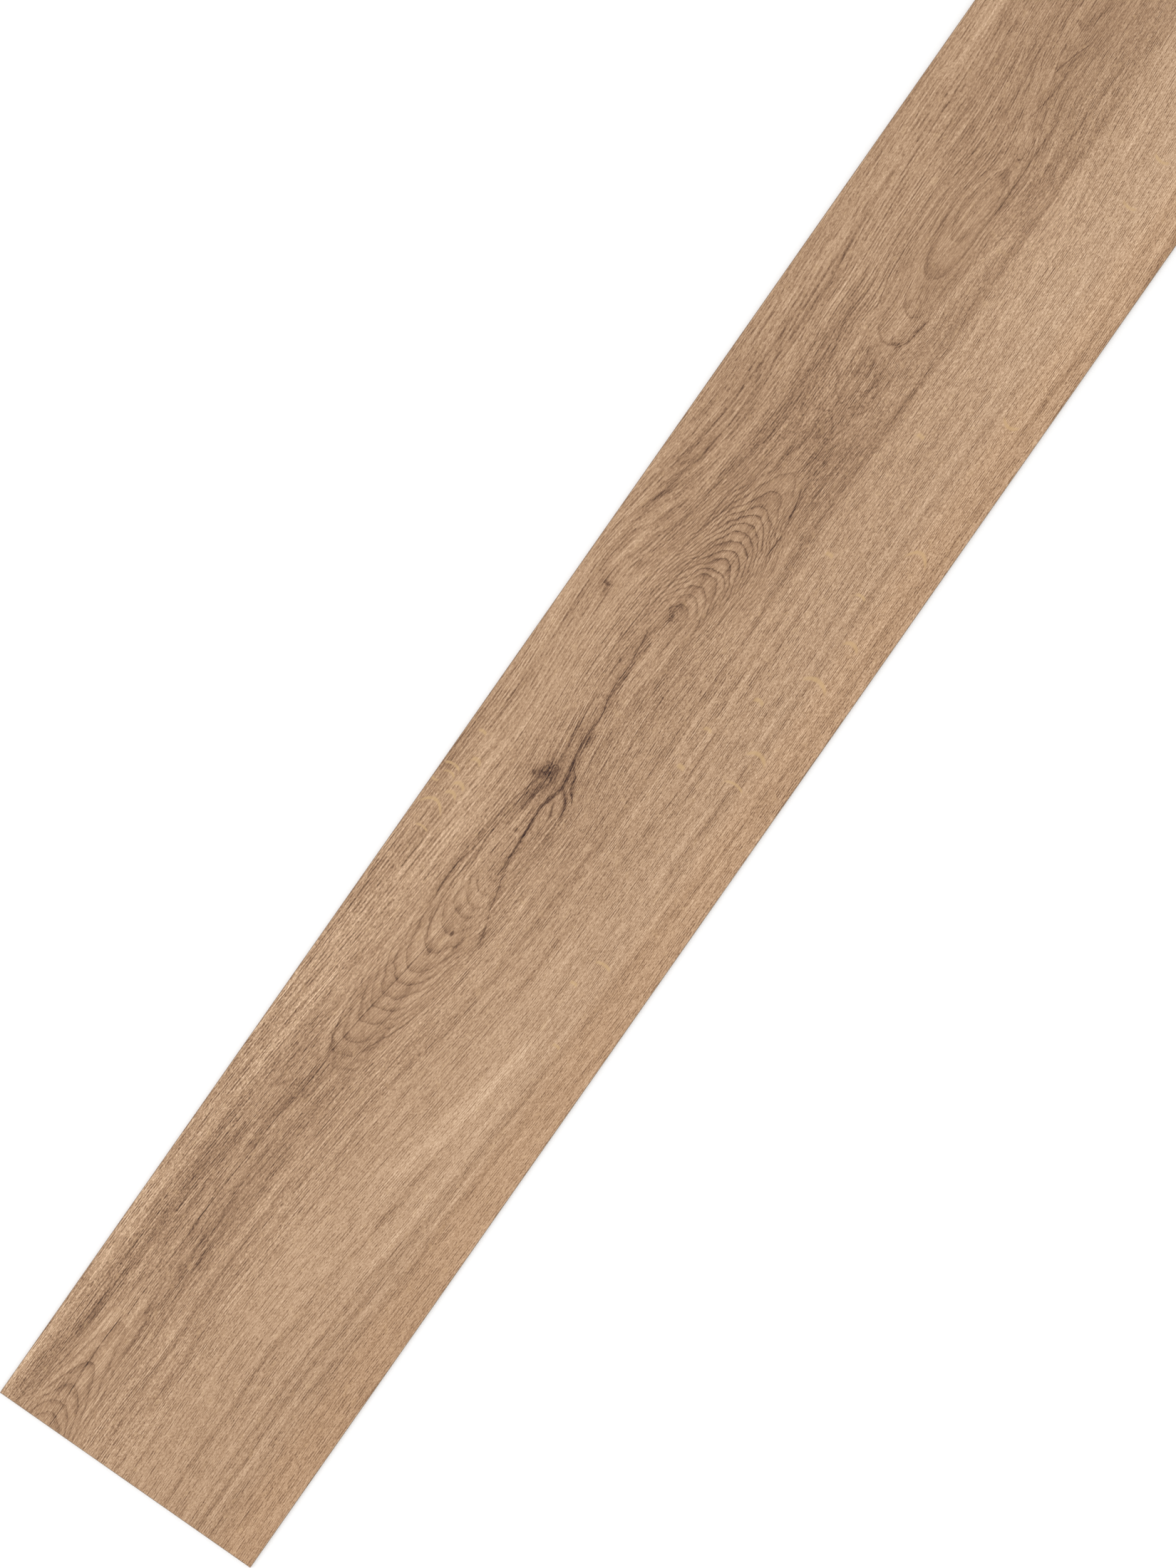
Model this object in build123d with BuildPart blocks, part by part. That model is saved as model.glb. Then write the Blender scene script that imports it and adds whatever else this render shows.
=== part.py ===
from build123d import *
import os

# Vinyl floor plank of the glued-down kind: one flat sheet of vinyl, die-cut square on all four sides,
# with a hairline micro-bevel round the printed face.
# Frame: +X along the plank, +Y across it, +Z up out of the printed face.
# The origin is in the middle of the back, where the plank is glued down.

# Driving dimensions, in millimetres
plank_length = 1219.2
plank_width = 184.2
plank_thickness = 2.5
bevel_width = 0.4
bevel_depth = 0.25

# Plank
with BuildPart() as plank:
    with BuildSketch(Plane.XY) as die_cut_outline:
        Rectangle(plank_length, plank_width)
    extrude(amount=plank_thickness)
    printed_face = plank.faces().sort_by(Axis.Z)[-1]
    chamfer(printed_face.edges(), length=bevel_width, length2=bevel_depth, reference=printed_face)

plank.part.label = "plank"

# Output, one file for the piece
os.makedirs("parts", exist_ok=True)
export_step(plank.part, "parts/plank.step")
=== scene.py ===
"""Vinyl floor plank of the glued-down kind, with an oak print, on a white studio floor.

The plank is one sheet: a printed and embossed face, a hairline micro-bevel, die-cut edges and a plain back.
The print is drawn in millimetres on the plank. "Along" runs from the shown end, which is the -X end, and
"across" from the left edge, which is the +Y edge. A brightness is written in levels from 0 to 255.
"""
import logging
import math
import operator
from dataclasses import dataclass, field
from enum import Enum, IntEnum
from functools import reduce

import bmesh
import bpy
import numpy as np
from mathutils import Matrix, Vector


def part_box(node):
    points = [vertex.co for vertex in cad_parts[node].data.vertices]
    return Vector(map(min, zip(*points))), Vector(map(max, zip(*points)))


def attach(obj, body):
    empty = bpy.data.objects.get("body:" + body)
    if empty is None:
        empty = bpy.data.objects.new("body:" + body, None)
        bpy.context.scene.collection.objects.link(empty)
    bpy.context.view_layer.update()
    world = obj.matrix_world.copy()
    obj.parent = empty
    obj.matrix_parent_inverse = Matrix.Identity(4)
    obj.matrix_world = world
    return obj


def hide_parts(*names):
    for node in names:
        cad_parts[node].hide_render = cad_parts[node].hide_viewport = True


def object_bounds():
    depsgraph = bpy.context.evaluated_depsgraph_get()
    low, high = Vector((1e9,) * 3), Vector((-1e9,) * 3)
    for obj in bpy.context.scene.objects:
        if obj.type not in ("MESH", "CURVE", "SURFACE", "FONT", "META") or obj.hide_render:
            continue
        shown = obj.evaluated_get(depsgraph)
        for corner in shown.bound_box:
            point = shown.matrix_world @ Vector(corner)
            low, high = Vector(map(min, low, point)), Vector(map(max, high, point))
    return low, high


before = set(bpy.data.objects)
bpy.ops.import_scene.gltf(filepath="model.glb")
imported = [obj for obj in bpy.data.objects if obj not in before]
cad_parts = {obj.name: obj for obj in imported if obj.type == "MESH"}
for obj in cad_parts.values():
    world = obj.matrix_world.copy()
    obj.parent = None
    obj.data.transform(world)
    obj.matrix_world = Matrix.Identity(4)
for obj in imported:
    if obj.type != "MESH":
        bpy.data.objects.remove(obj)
cad_low, cad_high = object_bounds()

LOG = logging.getLogger("plank")
MM = 0.001
WHITE_LEVEL = 255.0

Point = tuple[float, float]
Route = tuple[Point, ...]
Course = tuple[tuple[float, float, float], ...]
Rgb = tuple[float, float, float]


class Skin(IntEnum):
    """Material slots of the plank."""

    PRINT = 0
    EDGE = 1
    BACK = 2


class Layer(str, Enum):
    """Mesh attributes that carry the figure of the print from the drawing to the material."""

    TONE = "tone"
    FLOW = "flow"
    RINGS = "rings"
    RING_RUN = "ring_run"
    CHECK = "check_"


def ease(value: np.ndarray) -> np.ndarray:
    """Smooth step from 0 to 1."""
    share = np.clip(value, 0.0, 1.0)
    return share * share * (3.0 - 2.0 * share)


def follow(route: Route | Course, along: np.ndarray, column: int = 1) -> np.ndarray:
    """Reads a smooth line that passes through a few points.

    Args:
        route: Points of the line, in order, each with its place along the plank first.
        along: Places to read it at. Beyond its ends the line stays level.
        column: Which number of each point the line follows.

    Returns:
        The line's value at each place.
    """
    place = np.array([point[0] for point in route], float)
    value = np.array([point[column] for point in route], float)
    slope = np.gradient(value, place)
    start = np.clip(np.searchsorted(place, along) - 1, 0, len(place) - 2)
    span = place[start + 1] - place[start]
    u = np.clip((along - place[start]) / span, 0.0, 1.0)
    v = 1.0 - u
    ends = v * v * (1.0 + 2.0 * u) * value[start] + u * u * (1.0 + 2.0 * v) * value[start + 1]
    return ends + u * v * span * (v * slope[start] - u * slope[start + 1])


def window(along: np.ndarray, start: float, end: float, taper: float) -> np.ndarray:
    """1 between start and end, fading out over the taper at each of them."""
    return ease((along - start) / taper + 0.5) * ease((end - along) / taper + 0.5)


@dataclass(frozen=True)
class Places:
    """Points of the face, along and across the plank."""

    along: np.ndarray
    across: np.ndarray

    def moved(self, along: float, across: float) -> "Places":
        """The same points, each moved a little."""
        return Places(self.along + along, self.across + across)

    def picked(self, chosen: np.ndarray) -> "Places":
        """The chosen points alone."""
        return Places(self.along[chosen], self.across[chosen])

    def off_oval(self, centre: Point, radii: Point) -> np.ndarray:
        """Measures how far the points lie from the middle of an oval.

        Args:
            centre: The middle.
            radii: Its radii along and across the plank.

        Returns:
            The squared distance of each point, 1 on the rim.
        """
        u = (self.along - centre[0]) / radii[0]
        v = (self.across - centre[1]) / radii[1]
        return u * u + v * v


@dataclass(frozen=True)
class Zone:
    """A broad area that is lighter or darker than the rest, with edges that run with the grain.

    Each point of the band is (along, upper edge, lower edge). The ends fade over a share of its length.
    """

    levels: float
    soft_edge: float
    band: Course
    taper: float = 0.25

    def shade(self, at: Places) -> np.ndarray:
        """Draws the zone.

        Args:
            at: Points of the face.

        Returns:
            Brightness change at each point, in levels.
        """
        start, end = self.band[0][0], self.band[-1][0]
        inside = ease((at.across - follow(self.band, at.along)) / self.soft_edge + 0.5)
        inside *= ease((follow(self.band, at.along, 2) - at.across) / self.soft_edge + 0.5)
        return self.levels * inside * window(at.along, start, end, self.taper * (end - start))


@dataclass(frozen=True)
class Streak:
    """One long soft stroke, lighter or darker than the wood beside it."""

    levels: float
    half_width: float
    route: Route
    taper: float = 0.3
    least_taper: float = 5.0

    def shade(self, at: Places) -> np.ndarray:
        """Draws the streak.

        Args:
            at: Points of the face.

        Returns:
            Brightness change at each point, in levels.
        """
        start, end = self.route[0][0], self.route[-1][0]
        off = (at.across - follow(self.route, at.along)) / self.half_width
        taper = max(self.taper * (end - start), self.least_taper)
        return self.levels * np.exp(-off * off) * window(at.along, start, end, taper)


@dataclass(frozen=True)
class Smudge:
    """A small soft patch."""

    levels: float
    centre: Point
    radii: Point

    def shade(self, at: Places) -> np.ndarray:
        """Brightness change at each point, in levels."""
        return self.levels * np.exp(-at.off_oval(self.centre, self.radii))


@dataclass(frozen=True)
class Heart:
    """The heart of the tree, which runs just under the face.

    The line is the heart's place across the plank, and the count is how many growth rings lie between it
    and the face there, so an arch has its tip where the count passes a whole number. The squeeze stretches
    the rings sideways on each side of the heart. Past about its reach the grain runs with the far lines.
    It bends less near the left and the right edge: by a share at the edge itself, rising to 1 inwards.
    """

    line: Route
    count: Route
    upper_squeeze: Route
    lower_squeeze: Route
    upper_far: Route
    lower_far: Route
    reach: float = 35.0
    width: float = (cad_high.y - cad_low.y) / MM
    left_bend: float = 0.6
    left_reach: float = 40.0
    right_bend: float = 0.5
    right_reach: float = 60.0
    least_count: float = 0.02

    # Rings are wide at the heart, each adding the same area, and even from this radius on
    ring_area: float = 64.0
    even_from: float = 26.0

    @property
    def even_pitch(self) -> float:
        """Width of the even rings."""
        return self.ring_area / (2.0 * self.even_from)

    def radius(self, count: np.ndarray) -> np.ndarray:
        """Finds the radius of a ring.

        Args:
            count: Its number, counted from the heart.

        Returns:
            The radius.
        """
        even_count = self.even_from**2 / self.ring_area
        inner = np.sqrt(self.ring_area * np.clip(count, 0.0, even_count))
        return inner + self.even_pitch * np.maximum(count - even_count, 0.0)

    def number(self, at: Places) -> np.ndarray:
        """Finds which ring shows.

        Args:
            at: Points of the face.

        Returns:
            Its number at each point, with the share of the way to the next.
        """
        radius, _ = self.flow(at)
        inner = np.minimum(radius, self.even_from) ** 2 / self.ring_area
        return inner + np.maximum(radius - self.even_from, 0.0) / self.even_pitch

    def flow(self, at: Places) -> tuple[np.ndarray, np.ndarray]:
        """Finds how the grain runs.

        Args:
            at: Points of the face.

        Returns:
            The radius of the ring at each point, and the point's place across the fibres.
        """
        line = follow(self.line, at.along)
        off = at.across - line
        near = np.exp(-((off / self.reach) ** 2))
        left = ease(at.across / self.left_reach)
        right = ease((self.width - at.across) / self.right_reach)
        bend = self.left_bend + (1.0 - self.left_bend) * left
        bend *= self.right_bend + (1.0 - self.right_bend) * right
        above = off < 0.0
        far = np.where(above, follow(self.upper_far, at.along), follow(self.lower_far, at.along))
        far = self.line[0][1] + bend * (far - self.line[0][1])
        fibre = at.across - near * line - (1.0 - near) * far
        upper, lower = follow(self.upper_squeeze, at.along), follow(self.lower_squeeze, at.along)
        squeeze = 1.0 + near * (np.where(above, upper, lower) - 1.0)
        depth = self.radius(np.maximum(follow(self.count, at.along), self.least_count))
        return np.sqrt(squeeze * fibre * fibre + depth * depth), fibre


@dataclass(frozen=True)
class RingPatch:
    """Where the growth rings show, as a soft-edged oval.

    A soft ring is a shade that deepens up to its edge, and a hard one is a line.
    """

    strength: float
    softness: float
    centre: Point
    radii: Point
    fall: float = 1.5

    def cover(self, at: Places) -> np.ndarray:
        """How clear the rings are at each point."""
        return self.strength * np.exp(-(at.off_oval(self.centre, self.radii) ** self.fall))


@dataclass(frozen=True)
class Check:
    """A thin dark line along the grain: a drying check or a hard edge of a ring.

    Each point of the course is (along, across, half width).
    """

    darkness: float
    course: Course
    taper: float = 5.0

    @property
    def reach(self) -> Point:
        """Where it starts and ends along the plank."""
        return self.course[0][0], self.course[-1][0]

    def trace(self, at: Places) -> np.ndarray:
        """Finds the check from each point.

        Args:
            at: Points of the face.

        Returns:
            Columns of the offset from its middle, its half width and its darkness.
        """
        half_width = follow(self.course, at.along, 2)
        dark = self.darkness * window(at.along, *self.reach, self.taper)
        return np.stack([at.across - follow(self.course, at.along), half_width, dark], axis=1)


@dataclass(frozen=True)
class Knot:
    """A small dark knot; the radii are along and across the plank."""

    levels: float
    centre: Point
    radii: Point


@dataclass(frozen=True)
class BowedStroke:
    """A curved stroke across the grain: pale where a ray comes to the face, dark where a ring does.

    A positive bow puts its middle further along the plank than its ends.
    """

    centre: Point
    half_length: float
    bow: float
    half_width: float = 1.2


class OakFigure:
    """The drawing of the print: what the oak shows, and where."""

    BASE_LEVEL = 168.5

    ZONES = (
        Zone(-11, 7, ((-60, 8, 52), (60, 9, 58), (150, 12, 60), (330, 24, 60))),
        Zone(-5, 8, ((200, 44, 74), (330, 44, 76), (420, 40, 84), (470, 44, 80))),
        Zone(4, 10, ((120, 84, 118), (240, 108, 150), (330, 118, 152), (520, 134, 166))),
        Zone(3, 10, ((120, 80, 118), (240, 88, 150), (330, 95, 152), (420, 100, 152))),
        Zone(-2, 10, ((400, -20, 44), (460, -20, 50), (520, -20, 56), (590, -20, 48))),
        Zone(-4, 8, ((430, 50, 100), (500, 48, 104), (600, 48, 100), (700, 50, 100))),
        Zone(-10, 8, ((620, 22, 107), (700, 20, 107), (900, 16, 108), (1300, 14, 104))),
        Zone(4, 10, ((800, -20, 200), (900, -20, 200), (1000, -20, 200), (1300, -20, 200))),
        Zone(-5, 12, ((680, 36, 84), (760, 38, 88), (900, 36, 88), (1300, 34, 86))),
        Zone(-5, 6, ((640, -6, 16), (720, -6, 20), (840, -6, 24), (960, -6, 20))),
        Zone(4, 4, ((560, 109, 190), (700, 109, 190), (900, 109, 190), (1300, 105, 190))),
        Zone(5, 8, ((860, 120, 168), (960, 120, 168), (1050, 118, 166), (1300, 112, 160))),
        Zone(-4, 6, ((-60, 150, 176), (40, 150, 176), (120, 151, 190), (220, 154, 190))),
        Zone(4, 8, ((180, 154, 195), (260, 155, 195), (380, 158, 195), (520, 164, 195))),
    )

    STREAKS = (
        # Dark branches of the main knot
        Streak(-30, 1.4, ((473, 72.3), (478.5, 71.2), (484, 68.6))),
        Streak(-28, 1.5, ((478, 77.4), (485, 75.8), (489.5, 72.8), (493, 69.5))),
        Streak(-24, 1.4, ((489, 79), (494, 75.2), (499, 73), (503.5, 70), (507, 67.5))),
        # Dark lines along the right edge
        Streak(-12, 1.5, ((815, 173), (850, 174), (888, 175.5))),
        Streak(-16, 2.5, ((850, 183.5), (930, 182.5), (990, 181.5))),
        # Broad soft tones
        Streak(-9, 5.0, ((620, 14), (690, 16), (770, 17))),
        Streak(-9, 5.0, ((370, 4), (440, 3), (505, 3))),
        Streak(-7, 6.0, ((755, 4), (900, 4), (1045, 4))),
        Streak(-6, 6.0, ((0, 76), (80, 78), (170, 80))),
        Streak(-7, 5.0, ((445, 76), (510, 76), (580, 77))),
        Streak(5, 5.0, ((270, 28), (340, 29), (410, 30))),
        # Towards the shown end, above the heart: light, then dark
        Streak(10, 2.6, ((30, 3), (80, 4), (140, 7.5), (220, 11), (290, 16.5), (340, 20))),
        Streak(14, 1.3, ((95, 25), (120, 26), (150, 27), (190, 27.5))),
        Streak(14, 2.4, ((42, 41), (70, 40))),
        Streak(7, 1.6, ((38, 27), (66, 28))),
        Streak(6, 2.4, ((85, 35), (140, 35), (200, 35.5), (240, 33))),
        Streak(12, 1.8, ((205, 43), (235, 46.5), (250, 51), (275, 58))),
        Streak(9, 1.5, ((262, 41), (290, 37), (320, 35.5), (345, 35.5))),
        Streak(8, 1.3, ((60, 66), (160, 64), (230, 69), (290, 74))),
        Streak(-20, 2.4, (
            (20, 11), (45, 14), (65, 18), (100, 20), (140, 20.5), (165, 20.5), (195, 19.5),
        )),
        Streak(-6, 2.4, ((100, 13), (150, 14), (200, 16))),
        Streak(-5, 2.0, ((25, 8), (65, 9))),
        Streak(-15, 1.1, ((112, 29), (140, 30), (170, 29.5), (215, 28))),
        Streak(-10, 1.5, ((0, 35.5), (40, 33), (90, 33))),
        Streak(-10, 2.0, ((58, 48), (80, 48), (100, 46), (130, 41))),
        Streak(-8, 1.3, ((130, 38.5), (160, 38.5), (190, 39), (222, 38), (258, 38))),
        Streak(-11, 2.0, (
            (130, 47.5), (165, 49), (185, 47.5), (205, 48), (225, 50), (240, 54), (262, 58), (310, 62.5),
        )),
        Streak(-5, 2.0, ((180, 59), (215, 61))),
        Streak(-7, 1.3, ((235, 26), (265, 28), (292, 28))),
        Streak(-9, 1.6, ((220, 10), (260, 12), (300, 16), (345, 19))),
        # Towards the shown end, below the heart: light, then dark
        Streak(9, 1.6, ((0, 78), (50, 76))),
        Streak(8, 1.4, ((180, 92), (240, 98), (290, 103))),
        Streak(6, 1.4, ((-40, 136), (60, 135), (140, 136), (200, 139))),
        Streak(13, 1.1, (
            (-60, 148), (50, 148), (100, 149), (150, 151.5), (200, 154.5), (250, 157.5), (300, 159.5),
            (345, 161),
        )),
        Streak(12, 3.0, ((190, 140), (240, 144), (330, 149))),
        Streak(9, 4.0, ((230, 119), (290, 127), (330, 134))),
        Streak(22, 2.5, ((268, 131), (300, 134.5), (330, 138), (355, 140.5))),
        Streak(-10, 1.7, (
            (-60, 73), (0, 73), (40, 70), (110, 69), (160, 69.5), (185, 73), (230, 78.5), (270, 82),
            (310, 91), (345, 96.5), (385, 101),
        )),
        Streak(-12, 1.5, ((85, 77), (118, 77))),
        Streak(-9, 1.8, ((240, 72), (290, 72))),
        Streak(-5, 1.5, (
            (-60, 92), (30, 93), (110, 94), (185, 97), (220, 101), (290, 109), (350, 116), (400, 119),
            (470, 120),
        )),
        Streak(-17, 1.8, (
            (-30, 120), (30, 119.5), (85, 120), (105, 119), (130, 120.5), (170, 124), (210, 129),
            (255, 133),
        )),
        Streak(-8, 1.6, ((-40, 139.5), (60, 138.5), (110, 139), (140, 140), (165, 142), (215, 147))),
        Streak(-14, 1.3, (
            (-60, 144.5), (80, 144.5), (115, 145), (150, 147.5), (190, 150), (240, 153), (290, 156),
            (350, 159.5),
        )),
        Streak(-11, 1.4, ((-20, 153), (60, 153.5), (90, 152.5), (125, 153.5))),
        Streak(-12, 2.2, (
            (110, 154.5), (150, 156.5), (190, 159), (240, 161.5), (290, 163.5), (345, 166),
        )),
        Streak(-4, 1.5, ((-40, 158.5), (50, 159), (90, 161))),
        Streak(-6, 1.2, ((215, 174), (250, 175))),
        # Left of the main knot: light, then dark
        Streak(9, 1.6, ((330, 142), (400, 143), (450, 146), (520, 147))),
        Streak(10, 2.2, ((280, 18), (330, 20), (400, 21), (445, 21), (480, 24), (540, 27))),
        Streak(10, 1.8, ((455, 15), (495, 17))),
        Streak(10, 2.2, ((396, 53), (420, 53), (452, 54))),
        Streak(8, 2.0, ((340, 153), (400, 156), (460, 160), (560, 166))),
        Streak(8, 1.3, ((320, 90), (360, 93), (395, 97))),
        Streak(8, 1.3, ((325, 113), (375, 118))),
        Streak(9, 1.1, ((455, 171), (535, 174))),
        Streak(-12, 1.7, ((285, 42), (320, 40), (345, 44), (385, 46))),
        Streak(-12, 1.6, ((312, 62), (345, 63))),
        Streak(-12, 2.0, ((355, 60), (405, 61))),
        Streak(-16, 1.8, ((366, 71), (390, 72))),
        Streak(-12, 2.0, ((383, 82), (400, 79), (420, 72), (440, 67))),
        Streak(-15, 1.6, ((392, 42), (420, 43), (460, 47), (484, 52))),
        Streak(-12, 1.9, ((330, 95.5), (380, 101), (440, 105), (550, 107), (620, 107), (700, 106))),
        Streak(-11, 1.4, (
            (330, 158.5), (400, 163), (460, 166), (500, 169.5), (540, 172), (600, 174.5), (650, 177),
        )),
        Streak(-10, 1.5, ((502, 12), (540, 12))),
        Streak(-8, 1.3, ((425, 19), (455, 20))),
        Streak(-6, 1.5, ((370, 3), (470, 5))),
        # Lower half past the main knot: dark, then light
        Streak(-7, 1.4, (
            (480, 118), (560, 119), (640, 119), (700, 118), (760, 117.5), (820, 119), (880, 121),
            (960, 119),
        )),
        Streak(-8, 1.7, ((455, 123), (500, 125), (540, 126.5), (580, 128), (620, 127), (670, 127))),
        Streak(-6, 1.3, ((480, 132), (560, 132.5), (640, 133), (720, 133), (800, 133.5), (850, 135))),
        Streak(-6, 1.3, ((480, 137.5), (560, 139), (640, 139), (760, 139))),
        Streak(-6, 1.3, ((560, 144.5), (600, 145), (650, 144.5), (745, 144))),
        Streak(-9, 1.5, (
            (480, 151.5), (560, 154.5), (620, 155.5), (680, 155), (740, 154.5), (790, 154), (850, 154.5),
        )),
        Streak(-8, 2.4, ((640, 174), (700, 175), (745, 178), (800, 178), (850, 174), (880, 176))),
        Streak(-7, 1.4, ((880, 176), (940, 172), (1000, 166), (1060, 160))),
        Streak(-9, 2.6, ((972, 119), (1000, 120))),
        Streak(6, 1.4, ((480, 120), (560, 122), (640, 122), (690, 121))),
        Streak(7, 1.6, ((780, 122), (850, 124), (910, 122), (980, 118.5))),
        Streak(5, 1.3, ((480, 129), (560, 130), (660, 130.5))),
        Streak(5, 1.3, ((480, 135), (600, 136), (720, 136), (840, 137))),
        Streak(6, 1.4, ((480, 140), (560, 142), (640, 142), (720, 141.5))),
        Streak(8, 1.7, (
            (480, 146.5), (540, 149), (620, 150), (680, 149.5), (740, 149.5), (800, 148.5), (860, 147.5),
        )),
        Streak(7, 2.2, ((500, 158), (560, 161), (640, 161), (720, 160.5), (800, 161), (850, 160))),
        Streak(9, 1.3, (
            (560, 166.5), (600, 168.5), (640, 170), (700, 168.5), (760, 168), (830, 169), (880, 170),
        )),
        Streak(8, 1.6, ((840, 141), (880, 141), (930, 140))),
        Streak(8, 1.8, ((850, 151), (920, 150), (1000, 146))),
        Streak(8, 1.5, ((890, 167), (940, 165), (1000, 161))),
        Streak(11, 1.1, ((840, 181.5), (900, 180.5), (960, 178), (1000, 174))),
        # Round the main knot and its check
        Streak(-34, 2.2, ((468, 55.5), (480, 56.5), (490, 58.5))),
        Streak(-14, 2.0, ((476, 77), (486, 76), (492, 73))),
        Streak(-16, 2.6, ((440, 67), (480, 66), (500, 68), (520, 64), (560, 61), (600, 58))),
        Streak(-12, 1.5, ((505, 57), (535, 55))),
        Streak(-8, 1.6, ((505, 87), (560, 88), (650, 87))),
        # Between the main check and the far cathedral
        Streak(-18, 1.8, (
            (570, 11.5), (640, 12), (660, 13.5), (680, 17), (720, 24), (745, 26.5), (775, 27),
            (850, 25.5),
        )),
        Streak(-9, 1.4, ((660, 11), (690, 13), (710, 16), (740, 19), (780, 20), (840, 20.5))),
        Streak(-9, 2.8, ((596, 59), (620, 63), (640, 65.5), (655, 65), (675, 63))),
        Streak(8, 2.0, ((540, 71), (570, 69), (597, 67))),
        Streak(-15, 3.4, (
            (655, 28), (680, 36), (700, 42), (730, 45.5), (760, 48), (800, 46.5), (825, 45), (845, 41),
        )),
        Streak(-11, 1.8, ((722, 64), (755, 65))),
        Streak(-11, 3.0, ((735, 78), (770, 78), (785, 83), (815, 85))),
        Streak(-14, 1.4, ((700, 88), (720, 86), (750, 86))),
        Streak(-16, 1.8, ((716, 92), (765, 93))),
        Streak(-10, 2.2, ((670, 105), (740, 104), (840, 106), (920, 106), (1020, 106))),
        Streak(12, 1.4, ((595, 105), (640, 104), (670, 100), (700, 97))),
        Streak(9, 3.0, ((675, 35), (718, 33))),
        Streak(14, 2.0, ((762, 38), (800, 36), (845, 33))),
        Streak(14, 1.4, ((775, 63), (810, 60), (835, 57), (880, 49))),
        Streak(7, 1.1, ((695, 57), (730, 60), (770, 64))),
        Streak(-5, 4.0, ((700, 12), (740, 13), (800, 14))),
        # Far cathedral and beyond
        Streak(14, 3.0, ((822, 75), (848, 76))),
        Streak(14, 2.6, ((850, 89), (890, 94), (925, 101))),
        Streak(-16, 1.6, ((922, 84), (950, 84), (980, 83))),
        Streak(-6, 1.3, ((950, 95), (1010, 95), (1070, 97))),
        Streak(-12, 2.0, ((935, 75), (962, 76))),
        Streak(-13, 1.6, ((898, 64), (930, 67))),
        Streak(-8, 5.0, ((940, 33), (1000, 30), (1060, 32))),
        Streak(-8, 8.0, ((990, 74), (1060, 65), (1110, 66))),
    )

    SMUDGES = (
        Smudge(-13, (497.4, 56.4), (7.5, 6.5)),
        Smudge(-22, (481, 57), (8, 3)),
        Smudge(-14, (491, 51.5), (4.5, 5)),
        Smudge(-26, (525.5, 65.8), (4.0, 2.0)),
        Smudge(6, (582, 4), (18, 6)),
        Smudge(-7, (622, 4), (18, 6)),
        Smudge(-6, (500, 40), (18, 7)),
        Smudge(-6, (580, 52), (20, 7)),
        Smudge(-5, (195, 20), (38, 24)),
        Smudge(-6, (140, 6), (28, 9)),
        Smudge(-6, (980, 66), (20, 8)),
        Smudge(-14, (497, 56), (9, 6)),
        Smudge(-14, (493.5, 74.2), (3.5, 2.6)),
        Smudge(-6, (617, 63), (9, 5)),
        Smudge(-16, (655, 62), (7, 2)),
        Smudge(-9, (381, 71), (7, 2.5)),
        Smudge(-8, (392, 81), (6, 2.6)),
        Smudge(-14, (396, 68), (7, 1.5)),
        Smudge(-18, (526, 66), (4, 1.8)),
        Smudge(-14, (525, 55), (8, 2)),
        Smudge(-14, (551, 64), (7, 3)),
        Smudge(-16, (491, 51), (4, 4)),
        Smudge(-26, (608, 20), (7, 4)),
        Smudge(-14, (680, 18), (7, 2)),
        Smudge(-16, (706, 23), (10, 1.6)),
        Smudge(-20, (76, 18.7), (8, 1.4)),
        Smudge(-14, (356, 46.5), (7, 1.5)),
        Smudge(-14, (933, 84.5), (9, 1.8)),
        Smudge(-12, (341, 51.5), (4, 2)),
        Smudge(-9, (308, 66), (28, 6)),
        Smudge(-8, (515, 66), (35, 7)),
        Smudge(-11, (750, 78), (38, 8)),
        Smudge(9, (640, 97), (55, 11)),
        Smudge(-7, (140, 66), (60, 6)),
        Smudge(5, (80, 54), (45, 6)),
        Smudge(-7, (80, 128), (16, 3.5)),
        Smudge(-7, (802, 74), (18, 4)),
        Smudge(-6, (170, 50), (45, 6)),
        Smudge(-7, (355, 66), (30, 6)),
        Smudge(-12, (494, 64), (16, 8)),
        Smudge(6, (657, 56), (22, 4)),
        Smudge(-7, (966, 76), (16, 5)),
        Smudge(7, (425, 36), (50, 9)),
        Smudge(6, (915, 38), (45, 10)),
        Smudge(-5, (340, 176), (60, 8)),
        Smudge(-5, (490, 84), (35, 9)),
    )

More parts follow.
